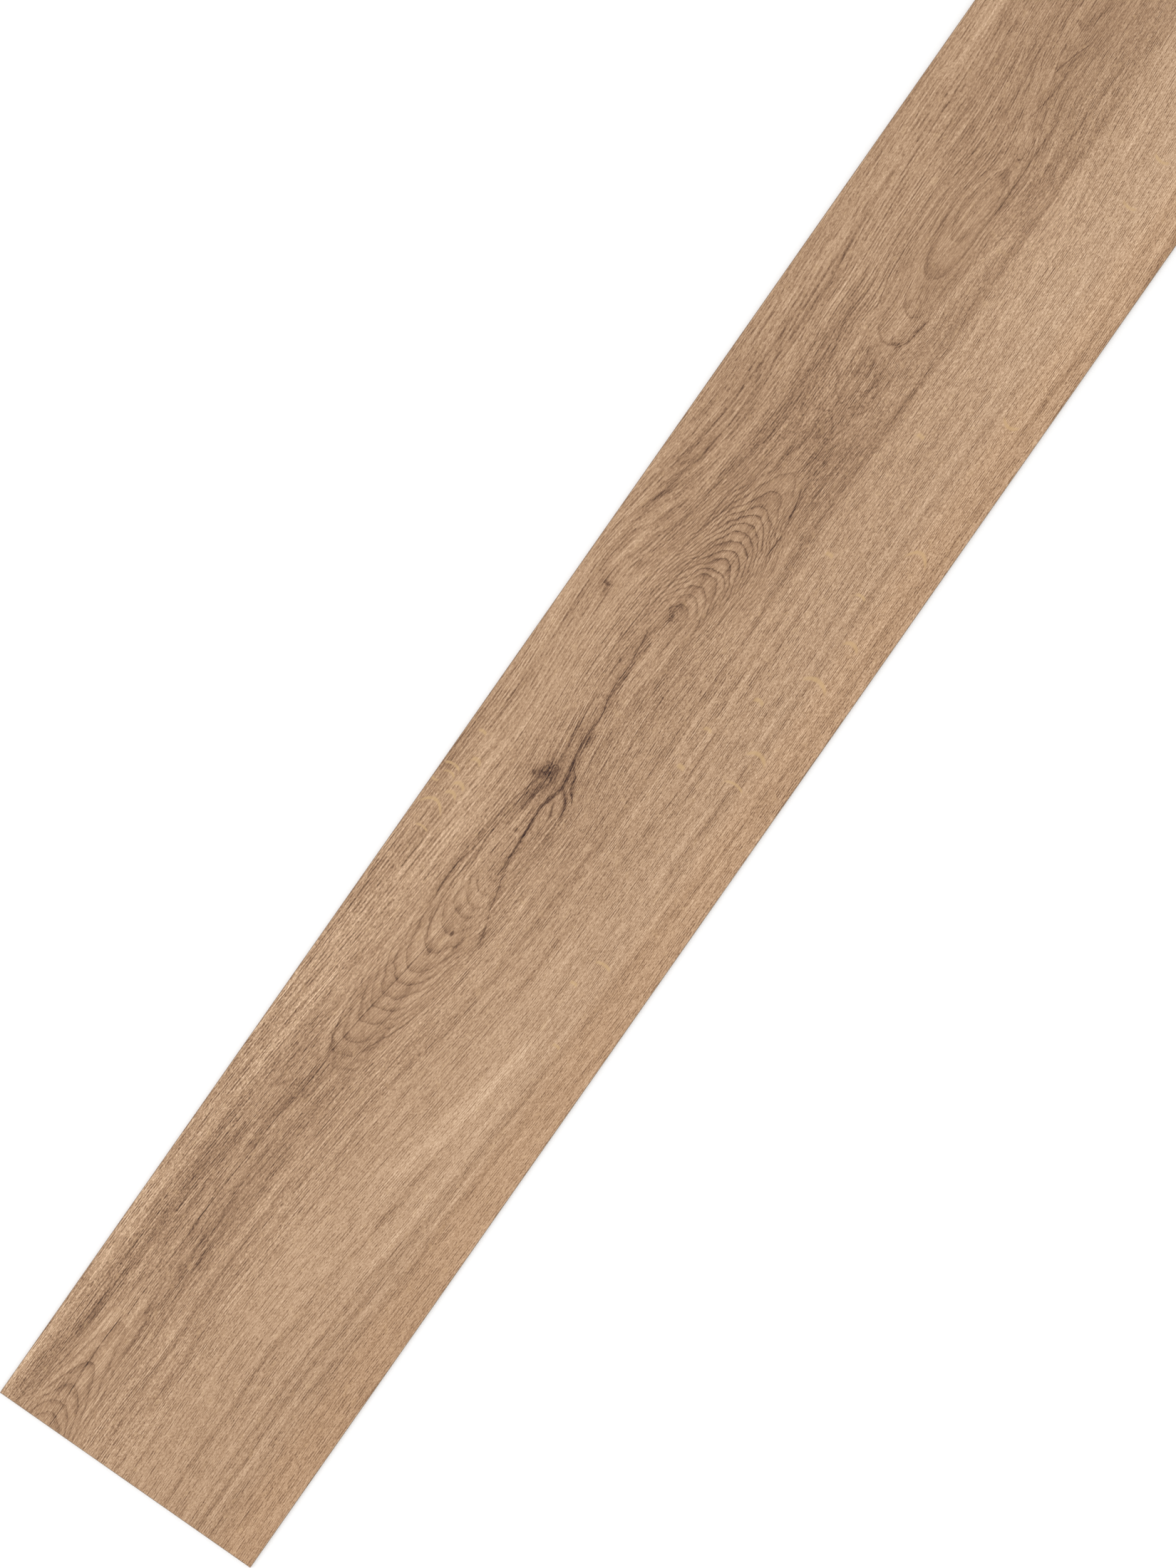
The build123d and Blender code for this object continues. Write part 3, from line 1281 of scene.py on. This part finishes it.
@dataclass(frozen=True)
class PrintFace:
    """A point of the printed face, as its material reads it.

    The radius and the fibre are its places across the growth rings and across the fibres.
    """

    bench: NodeBench
    shelf: GroupShelf
    along: Signal
    across: Signal
    radius: Signal
    fibre: Signal
    softness: Signal
    pore_pitch: float = 1.29

    @classmethod
    def read(cls, bench: NodeBench, shelf: GroupShelf) -> "PrintFace":
        """Reads the point off the mesh.

        Args:
            bench: The bench of the material's tree.
            shelf: The shared node groups.

        Returns:
            The point.
        """
        x, y, _ = bench.place()
        along = x - cad_low.x / MM
        across = bench.math("SUBTRACT", cad_high.y / MM, y)
        return cls(bench, shelf, along, across, *bench.layer_values(Layer.FLOW.value))

    def cover(self, area: Spread) -> Signal:
        """How far the point lies inside an area, from 0 to 1."""
        return self.along.rise(*area.along) * self.across.rise(*area.across)

    def streaks(self, strand: Strand, across: Signal, side: Signal | None = None) -> Signal:
        """Draws streaks.

        Args:
            strand: Their size and seed.
            across: The place that they lie side by side in.
            side: Added to the seed, where they differ from one side of the heart to the other.

        Returns:
            The streaks, from about -1 to 1.
        """
        seed = strand.seed if side is None else side + strand.seed
        return self.bench.group(
            self.shelf.streaks,
            Along=self.along, Across=across, Length=strand.length, Width=strand.width, Seed=seed,
        )

    def pores(self, across: Signal, dash: float, seed: float) -> Signal:
        """Draws rows of pores, from 0 to 1."""
        rows = {"Along": self.along, "Across": across, "Pitch": self.pore_pitch, "Dash": dash, "Seed": seed}
        return self.bench.group(self.shelf.pores, **rows)

    def knot(self, knot: Knot, ragged: Signal) -> Signal:
        """Draws a knot, in levels."""
        return self.bench.group(
            self.shelf.knot,
            Along=self.along, Across=self.across, Ragged=ragged,
            Centre_Along=knot.centre[0], Centre_Across=knot.centre[1],
            Radius_Along=knot.radii[0], Radius_Across=knot.radii[1],
        ) * knot.levels

    def stroke(self, stroke: BowedStroke, along: Signal) -> Signal:
        """Draws a bowed stroke at a place along the plank, from 0 to 1."""
        return self.bench.group(
            self.shelf.stroke,
            Along=along, Across=self.across,
            Centre_Along=stroke.centre[0], Centre_Across=stroke.centre[1],
            Half_Length=stroke.half_length, Bow=stroke.bow, Half_Width=stroke.half_width,
        )


@dataclass(frozen=True)
class OakPrint:
    """The printed face: an oak scan under a matt wear layer, embossed along the grain.

    A pair of levels runs from light to dark wood for smears and contours, from the plain to the fibrous
    side for threads and pores, and from hard to soft rings for what belongs to the rings.
    """

    figure: OakFigure
    name: str = "oak_print"
    roughness: float = 0.5
    pore_roughness: float = 0.12
    thread_roughness: float = 0.05
    specular: float = 0.15
    bump_distance: float = 0.06 * MM
    bump_strength: float = 0.5
    thread_height: float = 0.3
    pore_depth: float = 0.7

    # Brightness levels with the screen colours that the print has there
    inks: tuple[tuple[float, Rgb], ...] = (
        (30.0, (48, 33, 31)),
        (65.0, (85, 60, 49)),
        (105.0, (130, 99, 76)),
        (145.0, (174, 139, 108)),
        (185.0, (211, 177, 145)),
        (225.0, (250, 219, 186)),
    )
    ray_ink: Rgb = (206, 171, 124)
    fleck_ink: float = 0.68
    spot_ink: float = 0.12
    # How much warmer the print turns along its right edge, as a factor on the colour, and where
    edge_tint: Rgb = (1.02, 1.0, 0.974)
    tinted: Point = (152.0, 168.0)

    # The grain, from its slow wander down to single specks
    wander: Strand = Strand(80.0, 6.0, 3.7)
    broad: Strand = Strand(150.0, 5.0, 11.3)
    band: Strand = Strand(180.0, 2.4, 17.9)
    smear: Strand = Strand(90.0, 1.8, 23.1)
    contour: Strand = Strand(70.0, 1.4, 37.3)
    thread: Strand = Strand(55.0, 0.5, 31.9)
    shake: Strand = Strand(14.0, 2.0, 83.9)
    spot: Strand = Strand(6.0, 4.0, 59.1)
    speck: Strand = Strand(1.5, 0.4, 41.3)
    pore_dash: float = 14.0
    # Fibres about this far apart have streaks of their own
    side_step: float = 9.0
    # How far the wander and the shake push the grain aside
    lane_sway: float = 0.6
    fibre_sway: float = 0.5
    pore_sway: float = 0.3
    check_sway: float = 0.25
    arch_sway: float = 1.2
    # Where the noise of the spots counts, how near 0 that of the contours is, and the tones of dark wood
    spot_rise: Point = (0.35, 0.75)
    contour_width: float = 0.16
    dark_wood: Point = (6.0, -14.0)

    # How far each kind of grain changes the brightness, in levels
    broad_levels: float = 3.5
    band_levels: float = 7.0
    smear_levels: Point = (4.0, 10.0)
    contour_levels: Point = (8.0, 20.0)
    thread_levels: Point = (16.0, 28.0)
    pore_levels: Point = (47.0, 36.0)
    speck_levels: float = 34.0
    spot_levels: float = 3.0
    check_levels: float = 75.0
    fleck_levels: float = 6.5

    # What is left of pores and specks on smooth spots and flecks, and of pores and contours on clear rings
    smooth_pores: float = 0.2
    smooth_specks: float = 0.3
    ringed_pores: float = 0.4
    ringed_contours: float = 0.5

    # Where the finest grain is printed stronger than usual, by which share, and where it stays calm
    fibrous: Point = (100.0, 80.0)
    fibrous_gain: float = 0.3
    calm_left: Spread = Spread((380.0, 560.0), (50.0, 25.0))
    calm_end: Point = (760.0, 900.0)
    far_side: Spread = Spread((250.0, 650.0), (75.0, 95.0))
    far_side_gain: float = 0.25
    near_corner: Spread = Spread((420.0, 300.0), (40.0, 15.0))
    near_corner_gain: float = 0.3

    # Growth rings: their unrest, how far from a ring its line and its pores reach, and their levels
    ring_step: Strand = Strand(9.0, 0.8, 61.7)
    ring_sway: Strand = Strand(16.0, 6.0, 67.9)
    ring_breaks: Strand = Strand(8.0, 1.2, 71.1)
    ring_step_by: float = 0.4
    ring_sway_by: float = 1.3
    ring_line: float = 0.6
    ring_pores: Point = (1.6, 0.2)
    ring_dash: float = 6.0
    ring_seed: float = 7.3
    clear_rings: Point = (0.25, 0.75)
    ring_line_levels: Point = (40.0, 20.0)
    late_wood_levels: Point = (14.0, 28.0)

    # Unrest of the checks and the knots, and the dark grains in the stippled spots
    check_rag: Strand = Strand(2.5, 0.8, 97.3)
    knot_curl: Strand = Strand(4.0, 3.0, 19.3)
    knot_grains: Strand = Strand(1.1, 0.7, 7.9)

    def dress(self, shelf: GroupShelf, tracks: int) -> bpy.types.Material:
        """Builds the material.

        Args:
            shelf: The shared node groups.
            tracks: How many attributes carry checks.

        Returns:
            The material.
        """
        material, bench, shader = open_material(self.name)
        face = PrintFace.read(bench, shelf)
        side = face.fibre / self.side_step
        wander = face.streaks(self.wander, face.radius, side)
        lane = face.radius + wander * self.lane_sway
        fibre = face.fibre + wander * self.fibre_sway
        shake = face.streaks(self.shake, face.fibre)
        thread = face.streaks(self.thread, fibre)
        pores = face.pores(fibre + shake * self.pore_sway, self.pore_dash, 0.0)
        spots = face.streaks(self.spot, face.across).rise(*self.spot_rise)
        flecks = self._flecks(face, shake)
        rings, ringed = self._rings(face)

        level = self._broad_grain(face, lane, side, ringed) + spots * self.spot_levels
        fibrous = face.across.rise(*self.fibrous)
        dashes = pores * spots.over(flecks).between(1.0, self.smooth_pores)
        dashes = dashes * ringed.between(1.0, self.ringed_pores) * fibrous.between(*self.pore_levels)
        specks = face.streaks(self.speck, face.across) * self.speck_levels
        specks = specks * flecks.over(ringed * 0.4).between(1.0, self.smooth_specks)
        fine = thread * fibrous.between(*self.thread_levels) + specks - dashes
        level = level + fine * self._crispness(face, fibrous) + flecks * self.fleck_levels
        level = level - rings - self._checks(face, shake, tracks) * self.check_levels
        level = level + self._knots(face) + self._arches(face, shake)

        ink = bench.ramp(level / WHITE_LEVEL, [(value / WHITE_LEVEL, ink) for value, ink in self.inks])
        colour = bench.mix(flecks * self.fleck_ink + spots * self.spot_ink, ink, linear(self.ray_ink))
        colour = bench.mix(face.across.rise(*self.tinted), colour, self.edge_tint, "MULTIPLY")
        rough = pores * self.pore_roughness + thread * self.thread_roughness + self.roughness
        height = thread * self.thread_height - pores * self.pore_depth
        bench.feed(shader.inputs["Base Color"], colour)
        bench.feed(shader.inputs["Roughness"], rough)
        bench.feed(shader.inputs["Normal"], bench.bump(height, self.bump_distance, self.bump_strength))
        shader.inputs["Specular IOR Level"].default_value = self.specular
        return material

    def _broad_grain(self, face: PrintFace, lane: Signal, side: Signal, ringed: Signal) -> Signal:
        """Draws the tone of the wood with the bands, smears and contours that follow the rings.

        Args:
            face: The point of the face.
            lane: Its place across the rings, with the grain's wander.
            side: Which side of the heart it is on.
            ringed: Where the rings are clear.

        Returns:
            The brightness, in levels.
        """
        tone = face.bench.layer_value(Layer.TONE.value)
        coarse = tone.rise(*self.dark_wood)
        broad = face.streaks(self.broad, lane, side) * self.broad_levels
        band = face.streaks(self.band, lane, side) * self.band_levels
        smear = face.streaks(self.smear, lane, side) * coarse.between(*self.smear_levels)
        contour = abs(face.streaks(self.contour, lane, side)).rise(self.contour_width, 0.0)
        contour = contour * ringed.between(1.0, self.ringed_contours) * coarse.between(*self.contour_levels)
        return tone + self.figure.BASE_LEVEL + broad + band + smear - contour

    def _crispness(self, face: PrintFace, fibrous: Signal) -> Signal:
        """Reads how strong the finest grain is printed.

        Args:
            face: The point of the face.
            fibrous: Where the wood is fibrous.

        Returns:
            A factor, 1 where it is as usual.
        """
        calm = face.cover(self.calm_left).over(face.along.rise(*self.calm_end))
        gain = fibrous * calm.between(self.fibrous_gain, 0.0)
        gain = gain + face.cover(self.far_side) * self.far_side_gain
        return gain + face.cover(self.near_corner) * self.near_corner_gain + 1.0

    def _rings(self, face: PrintFace) -> tuple[Signal, Signal]:
        """Draws the growth rings: late wood that deepens up to a line with pores beside it.

        Args:
            face: The point of the face.

        Returns:
            The darkening, in levels, and where the rings are clear, from 0 to 1.
        """
        number, slope, strength = face.bench.layer_values(Layer.RINGS.value)
        run = face.bench.layer_value(Layer.RING_RUN.value)
        step = face.streaks(self.ring_step, face.fibre)
        sway = face.streaks(self.ring_sway, face.fibre)
        breaks = face.streaks(self.ring_breaks, face.fibre)
        turn = number + run * step * self.ring_step_by + slope * sway * self.ring_sway_by
        gap = abs((turn + 0.5).fraction() - 0.5) / slope
        rows = face.pores(face.fibre, self.ring_dash, self.ring_seed)
        line = gap.rise(self.ring_line, 0.0).over(gap.rise(*self.ring_pores) * rows)
        line = line * (breaks * 0.4 + 0.85) * face.softness.between(*self.ring_line_levels)
        late = turn.fraction().rise(0.5, 1.0) * face.softness.between(*self.late_wood_levels)
        return (line + late) * strength, strength.rise(*self.clear_rings)

    def _checks(self, face: PrintFace, shake: Signal, tracks: int) -> Signal:
        """Draws the thin dark lines.

        Args:
            face: The point of the face.
            shake: How they waver.
            tracks: How many attributes carry them.

        Returns:
            How dark they are, from 0 to 1.
        """
        ragged = face.streaks(self.check_rag, face.fibre)
        lines = []
        for track in range(tracks):
            off, half_width, dark = face.bench.layer_values(f"{Layer.CHECK.value}{track}")
            share = abs(off + shake * self.check_sway) / (half_width + ragged * 0.2)
            lines.append(share.rise(1.6, 0.3) * dark)
        return reduce(Signal.over, lines) * (ragged * 0.4 + 0.85)

    def _knots(self, face: PrintFace) -> Signal:
        """Draws the knots and the stippled spots.

        Args:
            face: The point of the face.

        Returns:
            The change of brightness, in levels.
        """
        curl = face.streaks(self.knot_curl, face.across)
        stipple = face.streaks(self.knot_grains, face.across).rise(-0.4, 0.4)
        knots = [face.knot(knot, curl) for knot in self.figure.KNOTS]
        knots += [face.knot(knot, curl) * stipple for knot in self.figure.PEPPER]
        return reduce(operator.add, knots)

    def _flecks(self, face: PrintFace, ragged: Signal) -> Signal:
        """Draws the pale strokes of the rays, from 0 to 1."""
        strokes = [face.stroke(fleck, face.along) for fleck in self.figure.FLECKS]
        return reduce(Signal.over, strokes) * (ragged * 0.3 + 0.85)

    def _arches(self, face: PrintFace, ragged: Signal) -> Signal:
        """Draws the soft dark arches.

        Args:
            face: The point of the face.
            ragged: How they waver.

        Returns:
            The change of brightness, in levels.
        """
        along = face.along + ragged * self.arch_sway
        strokes = [face.stroke(arch, along) * levels for levels, arch in self.figure.ARCHES]
        return reduce(operator.add, strokes) * (ragged * 0.5 + 0.9)


class LineRun(Enum):
    """How the lines that the making left on plain vinyl run."""

    ALONG_SHEET = "along the sheet"
    ROUND_EDGE = "round the cut edge"


@dataclass(frozen=True)
class FilledVinyl:
    """Plain matt vinyl with grains of filler and faint lines.

    Its colour goes from dark to pale by a base share, with shares of the grains and the lines added to it.
    """

    name: str
    dark: Rgb
    pale: Rgb
    roughness: float
    grain_roughness: float
    specular: float
    grain: float
    lines: Strand
    line_run: LineRun
    base_share: float
    grain_share: float
    line_share: float
    line_height: float
    bump_distance: float
    bump_strength: float

    def dress(self, shelf: GroupShelf) -> bpy.types.Material:
        """Builds the material.

        Args:
            shelf: The shared node groups.

        Returns:
            The material.
        """
        material, bench, shader = open_material(self.name)
        x, y, z = bench.place()
        along, across = (x, y) if self.line_run is LineRun.ALONG_SHEET else (x + y, z)
        grains = bench.group(shelf.speckle, X=x, Y=y, Z=z, Grain=self.grain)
        lines = bench.group(
            shelf.streaks,
            Along=along, Across=across,
            Length=self.lines.length, Width=self.lines.width, Seed=self.lines.seed,
        )
        share = grains * self.grain_share + lines * self.line_share + self.base_share
        bench.feed(shader.inputs["Base Color"], bench.ramp(share, [(0.0, self.dark), (1.0, self.pale)]))
        bench.feed(shader.inputs["Roughness"], grains * self.grain_roughness + self.roughness)
        shader.inputs["Specular IOR Level"].default_value = self.specular
        height = grains + lines * self.line_height
        bench.feed(shader.inputs["Normal"], bench.bump(height, self.bump_distance, self.bump_strength))
        return material


# The die-cut edge and its micro-bevel, drawn a little by the knife
CUT_EDGE = FilledVinyl(
    name="cut_edge",
    dark=(132, 108, 88),
    pale=(170, 146, 122),
    roughness=0.6,
    grain_roughness=0.15,
    specular=0.25,
    grain=0.9,
    lines=Strand(16.0, 0.35, 5.1),
    line_run=LineRun.ROUND_EDGE,
    base_share=0.15,
    grain_share=0.7,
    line_share=0.2,
    line_height=0.5,
    bump_distance=0.04 * MM,
    bump_strength=0.4,
)

# The back, with calender lines that are seen and not felt
PLAIN_BACK = FilledVinyl(
    name="plain_back",
    dark=(118, 112, 104),
    pale=(150, 143, 134),
    roughness=0.72,
    grain_roughness=0.12,
    specular=0.2,
    grain=2.4,
    lines=Strand(260.0, 3.0, 9.7),
    line_run=LineRun.ALONG_SHEET,
    base_share=0.2,
    grain_share=0.6,
    line_share=0.2,
    line_height=0.0,
    bump_distance=0.05 * MM,
    bump_strength=0.25,
)


@dataclass
class Plank:
    """The plank: a fine grid for the printed face, with bevel, edges and back drawn out from its rim."""

    low: Vector
    high: Vector
    figure: OakFigure
    bevel_width: float = 0.4 * MM
    bevel_depth: float = 0.25 * MM
    cells_along: int = 480
    cells_across: int = 192
    name: str = "oak_plank"
    tracks: list[list[Check]] = field(default_factory=list)

    # The printed face takes this share of the bake map, and the edges and the back the strip above it.
    # In the strip, as shares of it, the back comes first, then the left, right, far and shown edges
    face_share: float = 0.86
    back_foot: float = 0.1
    back_height: float = 0.45
    edge_feet: tuple[float, ...] = (0.62, 0.72, 0.82, 0.91)
    edge_height: float = 0.06

    def build(self, shelf: GroupShelf) -> bpy.types.Object:
        """Makes the piece.

        Args:
            shelf: The shared node groups.

        Returns:
            The plank's object.
        """
        self.tracks = self.figure.check_tracks()
        mesh = self._mesh()
        self._carry_figure(mesh)
        piece = bpy.data.objects.new(self.name, mesh)
        bpy.context.scene.collection.objects.link(piece)
        mesh.materials.append(OakPrint(self.figure).dress(shelf, len(self.tracks)))
        mesh.materials.append(CUT_EDGE.dress(shelf))
        mesh.materials.append(PLAIN_BACK.dress(shelf))
        return piece

    def _mesh(self) -> bpy.types.Mesh:
        """Shapes the sheet.

        Returns:
            The finished mesh.
        """
        outer = (self.high - self.low) / 2.0
        middle = (self.high + self.low) / 2.0
        inner = Vector((outer.x - self.bevel_width, outer.y - self.bevel_width))
        shape = bmesh.new()
        place = Matrix.Translation((middle.x, middle.y, self.high.z))
        place = place @ Matrix.Diagonal((inner.x, inner.y, 1.0, 1.0))
        bmesh.ops.create_grid(
            shape, x_segments=self.cells_along, y_segments=self.cells_across, size=1.0, matrix=place
        )
        self._emboss(shape)
        for face in shape.faces:
            face.material_index = Skin.PRINT
            face.smooth = True

        bevel = self._draw_out(shape)
        spread = Vector((outer.x / inner.x, outer.y / inner.y, 1.0))
        bmesh.ops.scale(shape, vec=spread, space=Matrix.Translation(-middle), verts=bevel)
        for vert in bevel:
            vert.co.z = self.high.z - self.bevel_depth
        foot = self._draw_out(shape)
        drop = self.low.z - self.high.z + self.bevel_depth
        bmesh.ops.translate(shape, vec=(0.0, 0.0, drop), verts=foot)

        sheet = bmesh.ops.edgeloop_fill(shape, edges=self._rim(shape))["faces"]
        back = bmesh.ops.triangulate(shape, faces=sheet, ngon_method="BEAUTY")["faces"]
        for face in back:
            face.material_index = Skin.BACK
        bmesh.ops.recalc_face_normals(shape, faces=shape.faces)
        self._bake_map(shape)
        mesh = bpy.data.meshes.new(self.name)
        shape.to_mesh(mesh)
        shape.free()
        return mesh

    @staticmethod
    def _rim(shape: bmesh.types.BMesh) -> list[bmesh.types.BMEdge]:
        """The open edges."""
        return [edge for edge in shape.edges if edge.is_boundary]

    def _draw_out(self, shape: bmesh.types.BMesh) -> list[bmesh.types.BMVert]:
        """Extrudes the open rim as cut edge.

        Args:
            shape: The sheet.

        Returns:
            The new vertices, still in the rim's place.
        """
        made = bmesh.ops.extrude_edge_only(shape, edges=self._rim(shape))["geom"]
        for face in (part for part in made if isinstance(part, bmesh.types.BMFace)):
            face.material_index = Skin.EDGE
        return [part for part in made if isinstance(part, bmesh.types.BMVert)]

    def _emboss(self, shape: bmesh.types.BMesh) -> None:
        """Lowers the checks and dark streaks of the face.

        Args:
            shape: The grid of the face.
        """
        verts = list(shape.verts)
        depth = self.figure.relief(self._plan(np.array([vert.co for vert in verts])))
        for vert, low in zip(verts, depth):
            vert.co.z -= float(low) * MM

    def _plan(self, points: np.ndarray) -> Places:
        """Places of points along and across the plank, in millimetres."""
        return Places((points[:, 0] - self.low.x) / MM, (self.high.y - points[:, 1]) / MM)

    def _bake_map(self, shape: bmesh.types.BMesh) -> None:
        """Lays the face over most of the bake map, with the edges and the back in a strip above it.

        Args:
            shape: The finished sheet.
        """
        layer = shape.loops.layers.uv.new("OFBake")
        size = self.high - self.low
        for face in shape.faces:
            for loop in face.loops:
                point = loop.vert.co - self.low
                share = (point.x / size.x, point.y / size.y, point.z / size.z)
                loop[layer].uv = self._bake_spot(face, share)

    def _bake_spot(self, face: bmesh.types.BMFace, share: Rgb) -> Point:
        """Finds where a corner of a face goes on the bake map.

        Args:
            face: The face.
            share: The corner's place, as shares of the plank's size.

        Returns:
            The place on the map.
        """
        u, v, height = share
        if face.material_index == Skin.PRINT:
            return u, v * self.face_share
        left, right, far, shown = self.edge_feet
        if face.material_index == Skin.BACK:
            run, rise = u, self.back_foot + self.back_height * v
        elif abs(face.normal.y) > abs(face.normal.x):
            run, rise = u, (left if face.normal.y > 0.0 else right) + self.edge_height * height
        else:
            run, rise = v, (far if face.normal.x > 0.0 else shown) + self.edge_height * height
        return run, self.face_share + (1.0 - self.face_share) * rise

    def _carry_figure(self, mesh: bpy.types.Mesh) -> None:
        """Writes the figure of the print on the mesh's vertices.

        Args:
            mesh: The plank's mesh.
        """
        points = np.empty(len(mesh.vertices) * 3)
        mesh.vertices.foreach_get("co", points)
        at = self._plan(points.reshape(-1, 3))
        rings, run, softness = self.figure.rings(at)
        radius, fibre = self.figure.HEART.flow(at)
        self._write(mesh, Layer.TONE.value, self.figure.tone(at))
        self._write(mesh, Layer.FLOW.value, np.stack([radius, fibre, softness], axis=1))
        self._write(mesh, Layer.RINGS.value, rings)
        self._write(mesh, Layer.RING_RUN.value, run)
        for number, track in enumerate(self.tracks):
            self._write(mesh, f"{Layer.CHECK.value}{number}", self.figure.check_layer(track, at))

    @staticmethod
    def _write(mesh: bpy.types.Mesh, name: str, values: np.ndarray) -> None:
        """Stores an attribute.

        Args:
            mesh: The mesh.
            name: The attribute's name.
            values: One number or three for each vertex.
        """
        kind, slot = ("FLOAT", "value") if values.ndim == 1 else ("FLOAT_VECTOR", "vector")
        layer = mesh.attributes.new(name, kind, "POINT")
        layer.data.foreach_set(slot, values.astype(np.float32).ravel())


@dataclass
class Studio:
    """White floor, soft light from all round and above, and the camera straight over the plank."""

    plank_low: Vector
    plank_high: Vector

    # The photograph's frame, and what of the plank it shows
    frame_pixels: Point = (1650.0, 2200.0)
    plank_width_pixels: float = 428.94
    frame_turn: float = -55.0
    view_along: float = 503.65 * MM
    view_across: float = 79.99 * MM
    lens: float = 85.0
    sensor: float = 36.0
    floor_half: float = 6.0
    floor_gap: float = 0.1 * MM
    floor_colour: Rgb = (0.8, 0.8, 0.8)
    floor_lift: float = 0.26
    white: Rgb = (1.0, 1.0, 1.0)
    world_strength: float = 0.82
    lamp_energy: float = 20.0
    lamp_size: float = 2.4
    lamp_place: Rgb = (-0.9, 1.1, 2.6)

    def build(self) -> None:
        """Sets up the floor, the light and the camera."""
        self._floor()
        self._world()
        self._lamp()
        self._camera()
        bpy.context.scene.view_settings.view_transform = "Standard"

    def _floor(self) -> None:
        """Lays a white floor that keeps the plank's shadow, and that only the camera sees, from above.

        To all other light it is clear, so that the back is lit and shows from below.
        """
        shape = bmesh.new()
        bmesh.ops.create_grid(shape, x_segments=1, y_segments=1, size=self.floor_half)
        bmesh.ops.translate(shape, vec=(0.0, 0.0, self.plank_low.z - self.floor_gap), verts=shape.verts)
        mesh = bpy.data.meshes.new("studio_floor")
        shape.to_mesh(mesh)
        shape.free()
        floor = bpy.data.objects.new("studio_floor", mesh)
        bpy.context.scene.collection.objects.link(floor)
        material = bpy.data.materials.new("studio_white")
        bench = empty_tree(material)
        paint = bench.put("ShaderNodeBsdfDiffuse", (*self.floor_colour, 1.0))
        lift = bench.put("ShaderNodeEmission", (*self.white, 1.0), self.floor_lift)
        both = bench.put("ShaderNodeAddShader", paint.outputs[0], lift.outputs[0])
        above = bench.read("ShaderNodeNewGeometry", "Backfacing").between(1.0, 0.0)
        sight = bench.read("ShaderNodeLightPath", "Is Camera Ray") * above
        clear = bench.put("ShaderNodeBsdfTransparent")
        shown = bench.put("ShaderNodeMixShader", sight, clear.outputs[0], both.outputs[0])
        bench.put("ShaderNodeOutputMaterial", shown.outputs[0])
        mesh.materials.append(material)

    def _world(self) -> None:
        """Lights evenly from all round, and shows white to the camera."""
        world = bpy.data.worlds.new("studio_world")
        bench = empty_tree(world)
        strength = bench.read("ShaderNodeLightPath", "Is Camera Ray").between(self.world_strength, 1.0)
        sky = bench.put("ShaderNodeBackground", (*self.white, 1.0), strength)
        bench.put("ShaderNodeOutputWorld", sky.outputs[0])
        bpy.context.scene.world = world

    def _lamp(self) -> None:
        """Hangs one large soft lamp over the plank."""
        light = bpy.data.lights.new("soft_lamp", "AREA")
        light.energy = self.lamp_energy
        light.size = self.lamp_size
        lamp = bpy.data.objects.new("soft_lamp", light)
        lamp.location = self.lamp_place
        lamp.rotation_mode = "QUATERNION"
        lamp.rotation_quaternion = Vector(self.lamp_place).to_track_quat("Z", "Y")
        bpy.context.scene.collection.objects.link(lamp)

    def _camera(self) -> None:
        """Looks straight down, turned as the photograph is."""
        metres_per_pixel = (self.plank_high.y - self.plank_low.y) / self.plank_width_pixels
        view_height = self.frame_pixels[1] * metres_per_pixel
        lens = bpy.data.cameras.new("camera")
        lens.lens = self.lens
        lens.sensor_width = self.sensor
        camera = bpy.data.objects.new("camera", lens)
        camera.location = (
            self.plank_low.x + self.view_along,
            self.plank_high.y - self.view_across,
            self.plank_high.z + view_height * self.lens / self.sensor,
        )
        camera.rotation_euler = (0.0, 0.0, math.radians(self.frame_turn))
        bpy.context.scene.collection.objects.link(camera)
        bpy.context.scene.camera = camera


def main() -> None:
    """Builds the plank and the studio."""
    logging.basicConfig(level=logging.INFO, format="%(name)s: %(message)s")
    low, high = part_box("plank")
    shelf = GroupShelf()
    plank = Plank(low, high, OakFigure())
    piece = plank.build(shelf)
    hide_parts("plank")
    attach(piece, "root")
    LOG.info("%s: %d faces, %d tracks of checks", piece.name, len(piece.data.polygons), len(plank.tracks))
    Studio(low, high).build()
    LOG.info("studio: floor, lamp and camera in place")
    bpy.context.view_layer.update()


if __name__ == "__main__":
    main()
